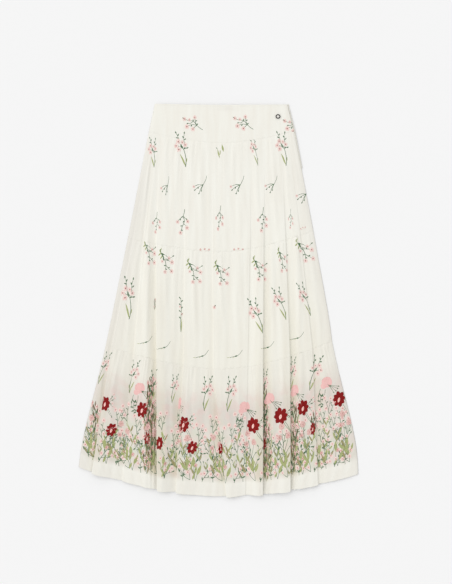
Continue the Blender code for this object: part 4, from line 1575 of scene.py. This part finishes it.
# %% [markdown]
# ## Concealed zip
#
# The zip lies closed along the right side seam. A woven tape covers a fine coil. A coil could be
# one wire wound along a curve, but its turns are too small for that to show, so each turn is
# a small rounded block. The slider rests at the top: a body that narrows downwards, with
# a bridge over it.

# %% Line of the zip
ZIP_START = 0.010
ZIP_LENGTH = 0.185
ZIP_OUT = 0.0011
ZIP_HEIGHT = 0.0016
ZIP_STEP = 0.005


def side_point(drop):
    """A point of the right side seam this far down."""
    tier = YOKE if drop < YOKE_SEAM.drop else UPPER
    level = between(tier, (drop - tier.top.drop) / (tier.bottom.drop - tier.top.drop))
    return WAIST_CENTRE + Vector((level.right, level.lift_right - drop, 0))


def zip_point(drop):
    """A point of the zip this far down, the way up along it, and the way out from it."""
    along = (side_point(drop - ZIP_STEP) - side_point(drop + ZIP_STEP)).normalized()
    out = Vector((along.y, -along.x, 0))
    return side_point(drop) + out * ZIP_OUT + Vector((0, 0, ZIP_HEIGHT)), along, out


def turned_up(along):
    """The turn that takes a part that points up to the line of the zip."""
    return Matrix.Rotation(math.atan2(-along.x, along.y), 4, "Z")


print("zip from", [round(v, 4) for v in zip_point(ZIP_START)[0]])

# %% Tape
TAPE_ROWS = 75
TAPE_HALF = 0.0011
TAPE_LIFT = 0.00058
TAPE_CROWN = 0.0002
TAPE_THICKNESS = 0.0004

bm = bmesh.new()
bmesh.ops.create_grid(bm, x_segments=2, y_segments=TAPE_ROWS - 1, size=1)
for vert in bm.verts:
    place, _, out = zip_point(ZIP_START + ZIP_LENGTH * (1 - vert.co.y) / 2)
    lift = TAPE_LIFT - TAPE_CROWN * abs(vert.co.x)
    vert.co = place + out * TAPE_HALF * vert.co.x + Vector((0, 0, lift))
tape_mesh = as_mesh("zip_tape", bm)
tape_mesh.shade_smooth()
woven = Finish("zip_tape", 0.8)
values = {"Vector": woven.object_place(), "Scale": 400}
rib = woven.node("ShaderNodeTexWave", {"bands_direction": "Y"}, values, output="Fac")
woven.feed("Base Color", woven.blend(rib, (0.70, 0.68, 0.61, 1), (0.80, 0.78, 0.71, 1)))
woven.bump(rib, 0.0001)
tape = add_piece("zip_tape", tape_mesh, [woven.material])
thicken(tape, TAPE_THICKNESS)
print("tape faces:", len(tape_mesh.polygons))

# %% Coil
COIL_PITCH = 0.0014
COIL_START = 0.0005
COIL_TURN = (0.0013, 0.0008, 0.0007, 1)
COIL_ROUND = 0.00018

bm = bmesh.new()
for k in range(int(ZIP_LENGTH / COIL_PITCH)):
    place, along, _ = zip_point(ZIP_START + COIL_START + COIL_PITCH * k)
    shape = Matrix.Translation(place) @ turned_up(along) @ Matrix.Diagonal(COIL_TURN)
    bmesh.ops.create_cube(bm, size=1, matrix=shape)
bmesh.ops.bevel(
    bm, geom=bm.edges[:], offset=COIL_ROUND, segments=2, profile=0.5, material=-1, affect="EDGES")
coil_mesh = as_mesh("zip_coil", bm)
coil_mesh.shade_smooth()
nylon = Finish("zip_coil", 0.4)
tint = nylon.grain(300, 300, 300)
nylon.feed("Base Color", nylon.blend(tint, (0.74, 0.72, 0.64, 1), (0.84, 0.82, 0.75, 1)))
coil = add_piece("zip_coil", coil_mesh, [nylon.material])
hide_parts("side_zip")
print("coil faces:", len(coil_mesh.polygons))

# %% Slider
SLIDER_SIZE = (0.0026, 0.0066, 0.0012)
SLIDER_FOOT = 0.72
SLIDER_ROUND = 0.00035
SLIDER_FLATTENED = 0.72
SLIDER_SINK = 0.0002
BRIDGE_RADIUS = 0.00038
BRIDGE_END = (0, 0.0018, 0.0005)
BRIDGE_AXIS = (0, 0, 0.0002)

slider_low, slider_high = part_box("zip_slider")
slider_middle = (slider_low + slider_high) / 2
bm = bmesh.new()
bmesh.ops.create_cube(bm, size=1)
for vert in bm.verts:
    if vert.co.y < 0:
        vert.co.x *= SLIDER_FOOT
bmesh.ops.scale(bm, vec=SLIDER_SIZE, verts=bm.verts)
bmesh.ops.bevel(
    bm, geom=bm.edges[:], offset=SLIDER_ROUND, segments=3, profile=0.5, material=-1, affect="EDGES")
ring = bmesh.ops.create_circle(bm, segments=10, radius=BRIDGE_RADIUS)["verts"]
bmesh.ops.translate(bm, vec=BRIDGE_END, verts=ring)
ring_edges = list({edge for vert in ring for edge in vert.link_edges})
bmesh.ops.spin(
    bm, geom=ring + ring_edges, cent=BRIDGE_AXIS, axis=(1, 0, 0), dvec=(0, 0, 0),
    angle=math.pi, steps=12, use_merge=False,
)
bmesh.ops.recalc_face_normals(bm, faces=bm.faces)
_, along, _ = zip_point(ZIP_START)
seat = Matrix.Translation((slider_middle.x, slider_middle.y, ZIP_HEIGHT - SLIDER_SINK))
flattened = Matrix.Diagonal((1, 1, SLIDER_FLATTENED, 1))
bmesh.ops.transform(bm, matrix=seat @ turned_up(along) @ flattened, verts=bm.verts)
slider_mesh = as_mesh("slider", bm)
slider_mesh.shade_smooth()
lacquer = Finish("slider_lacquer", 0.3)
wear = lacquer.grain(800, 800, 800, detail=3.0)
lacquer.feed("Base Color", lacquer.blend(wear, (0.78, 0.76, 0.68, 1), (0.70, 0.67, 0.59, 1)))
lacquer.feed("Roughness", 0.24 + wear * 0.2)
slider = add_piece("slider", slider_mesh, [lacquer.material])
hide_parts("zip_slider")
print("slider faces:", len(slider_mesh.polygons))

# %% [markdown]
# ## Surface and light
#
# The surface is a wide pale plane, made with a grid. The light is the
# soft, even light of a product photograph: a bright sky all round fills the shadows, and one broad
# sun from the upper left darkens what slopes away from it, which shows the folds. A sun lights the
# whole surface alike, where a near lamp would leave its corners grey.

# %% Surface and lights
FLOOR_SIZE = 20.0
SKY_STRENGTH = 0.81
SUN_STRENGTH = 1.02
SUN_ANGLE = 64
SUN_FROM = (-0.62, 0.30, 0.90)

bm = bmesh.new()
bmesh.ops.create_grid(bm, x_segments=1, y_segments=1, size=FLOOR_SIZE)
surface_mesh = as_mesh("surface", bm)
surface = bpy.data.objects.new("surface", surface_mesh)
bpy.context.scene.collection.objects.link(surface)
paper = Finish("surface_white", 0.9)
paper.set(Base_Color=(0.86, 0.86, 0.86, 1), Specular_IOR_Level=0.1)
surface_mesh.materials.append(paper.material)

sky = bpy.data.worlds.new("sky")
sky.use_nodes = True
background = sky.node_tree.nodes["Background"]
background.inputs["Color"].default_value = (1, 1, 1, 1)
background.inputs["Strength"].default_value = SKY_STRENGTH
bpy.context.scene.world = sky

sun_data = bpy.data.lights.new("sun", "SUN")
sun_data.energy = SUN_STRENGTH
sun_data.angle = math.radians(SUN_ANGLE)
sun = bpy.data.objects.new("sun", sun_data)
sun.rotation_euler = Vector(SUN_FROM).to_track_quat("Z", "Y").to_euler()
bpy.context.scene.collection.objects.link(sun)
bpy.context.scene.view_settings.view_transform = "Standard"
print("sky and sun set")

# %% [markdown]
# ## The cut of the cloth
#
# A tier is cut as a plain strip. It is as long as the tier's longest row, measured over every
# fold, and as deep as the tier, with an allowance for each seam and for the turned hem. The yoke
# is cut to a curve.

# %% Cut sizes
SEAM_ALLOWANCE = 0.007
HEM_TURN = 0.020


def cut_size(panel):
    """The width and length of the flat strip that a panel is cut from."""
    widest = (panel.along[:, -1] - panel.along[:, 0]).max()
    length = panel.tier.bottom.drop - panel.tier.top.drop
    turn = HEM_TURN if panel.tier is HEM_TIER else 0
    return widest + 2 * SEAM_ALLOWANCE, length + 2 * SEAM_ALLOWANCE + turn


cuts = {name: cut_size(panel) for name, panel in panels.items()}
for name, (width, length) in cuts.items():
    print(name, "was cut from", round(float(width), 3), "by", round(length, 3))

# %% Close the scene
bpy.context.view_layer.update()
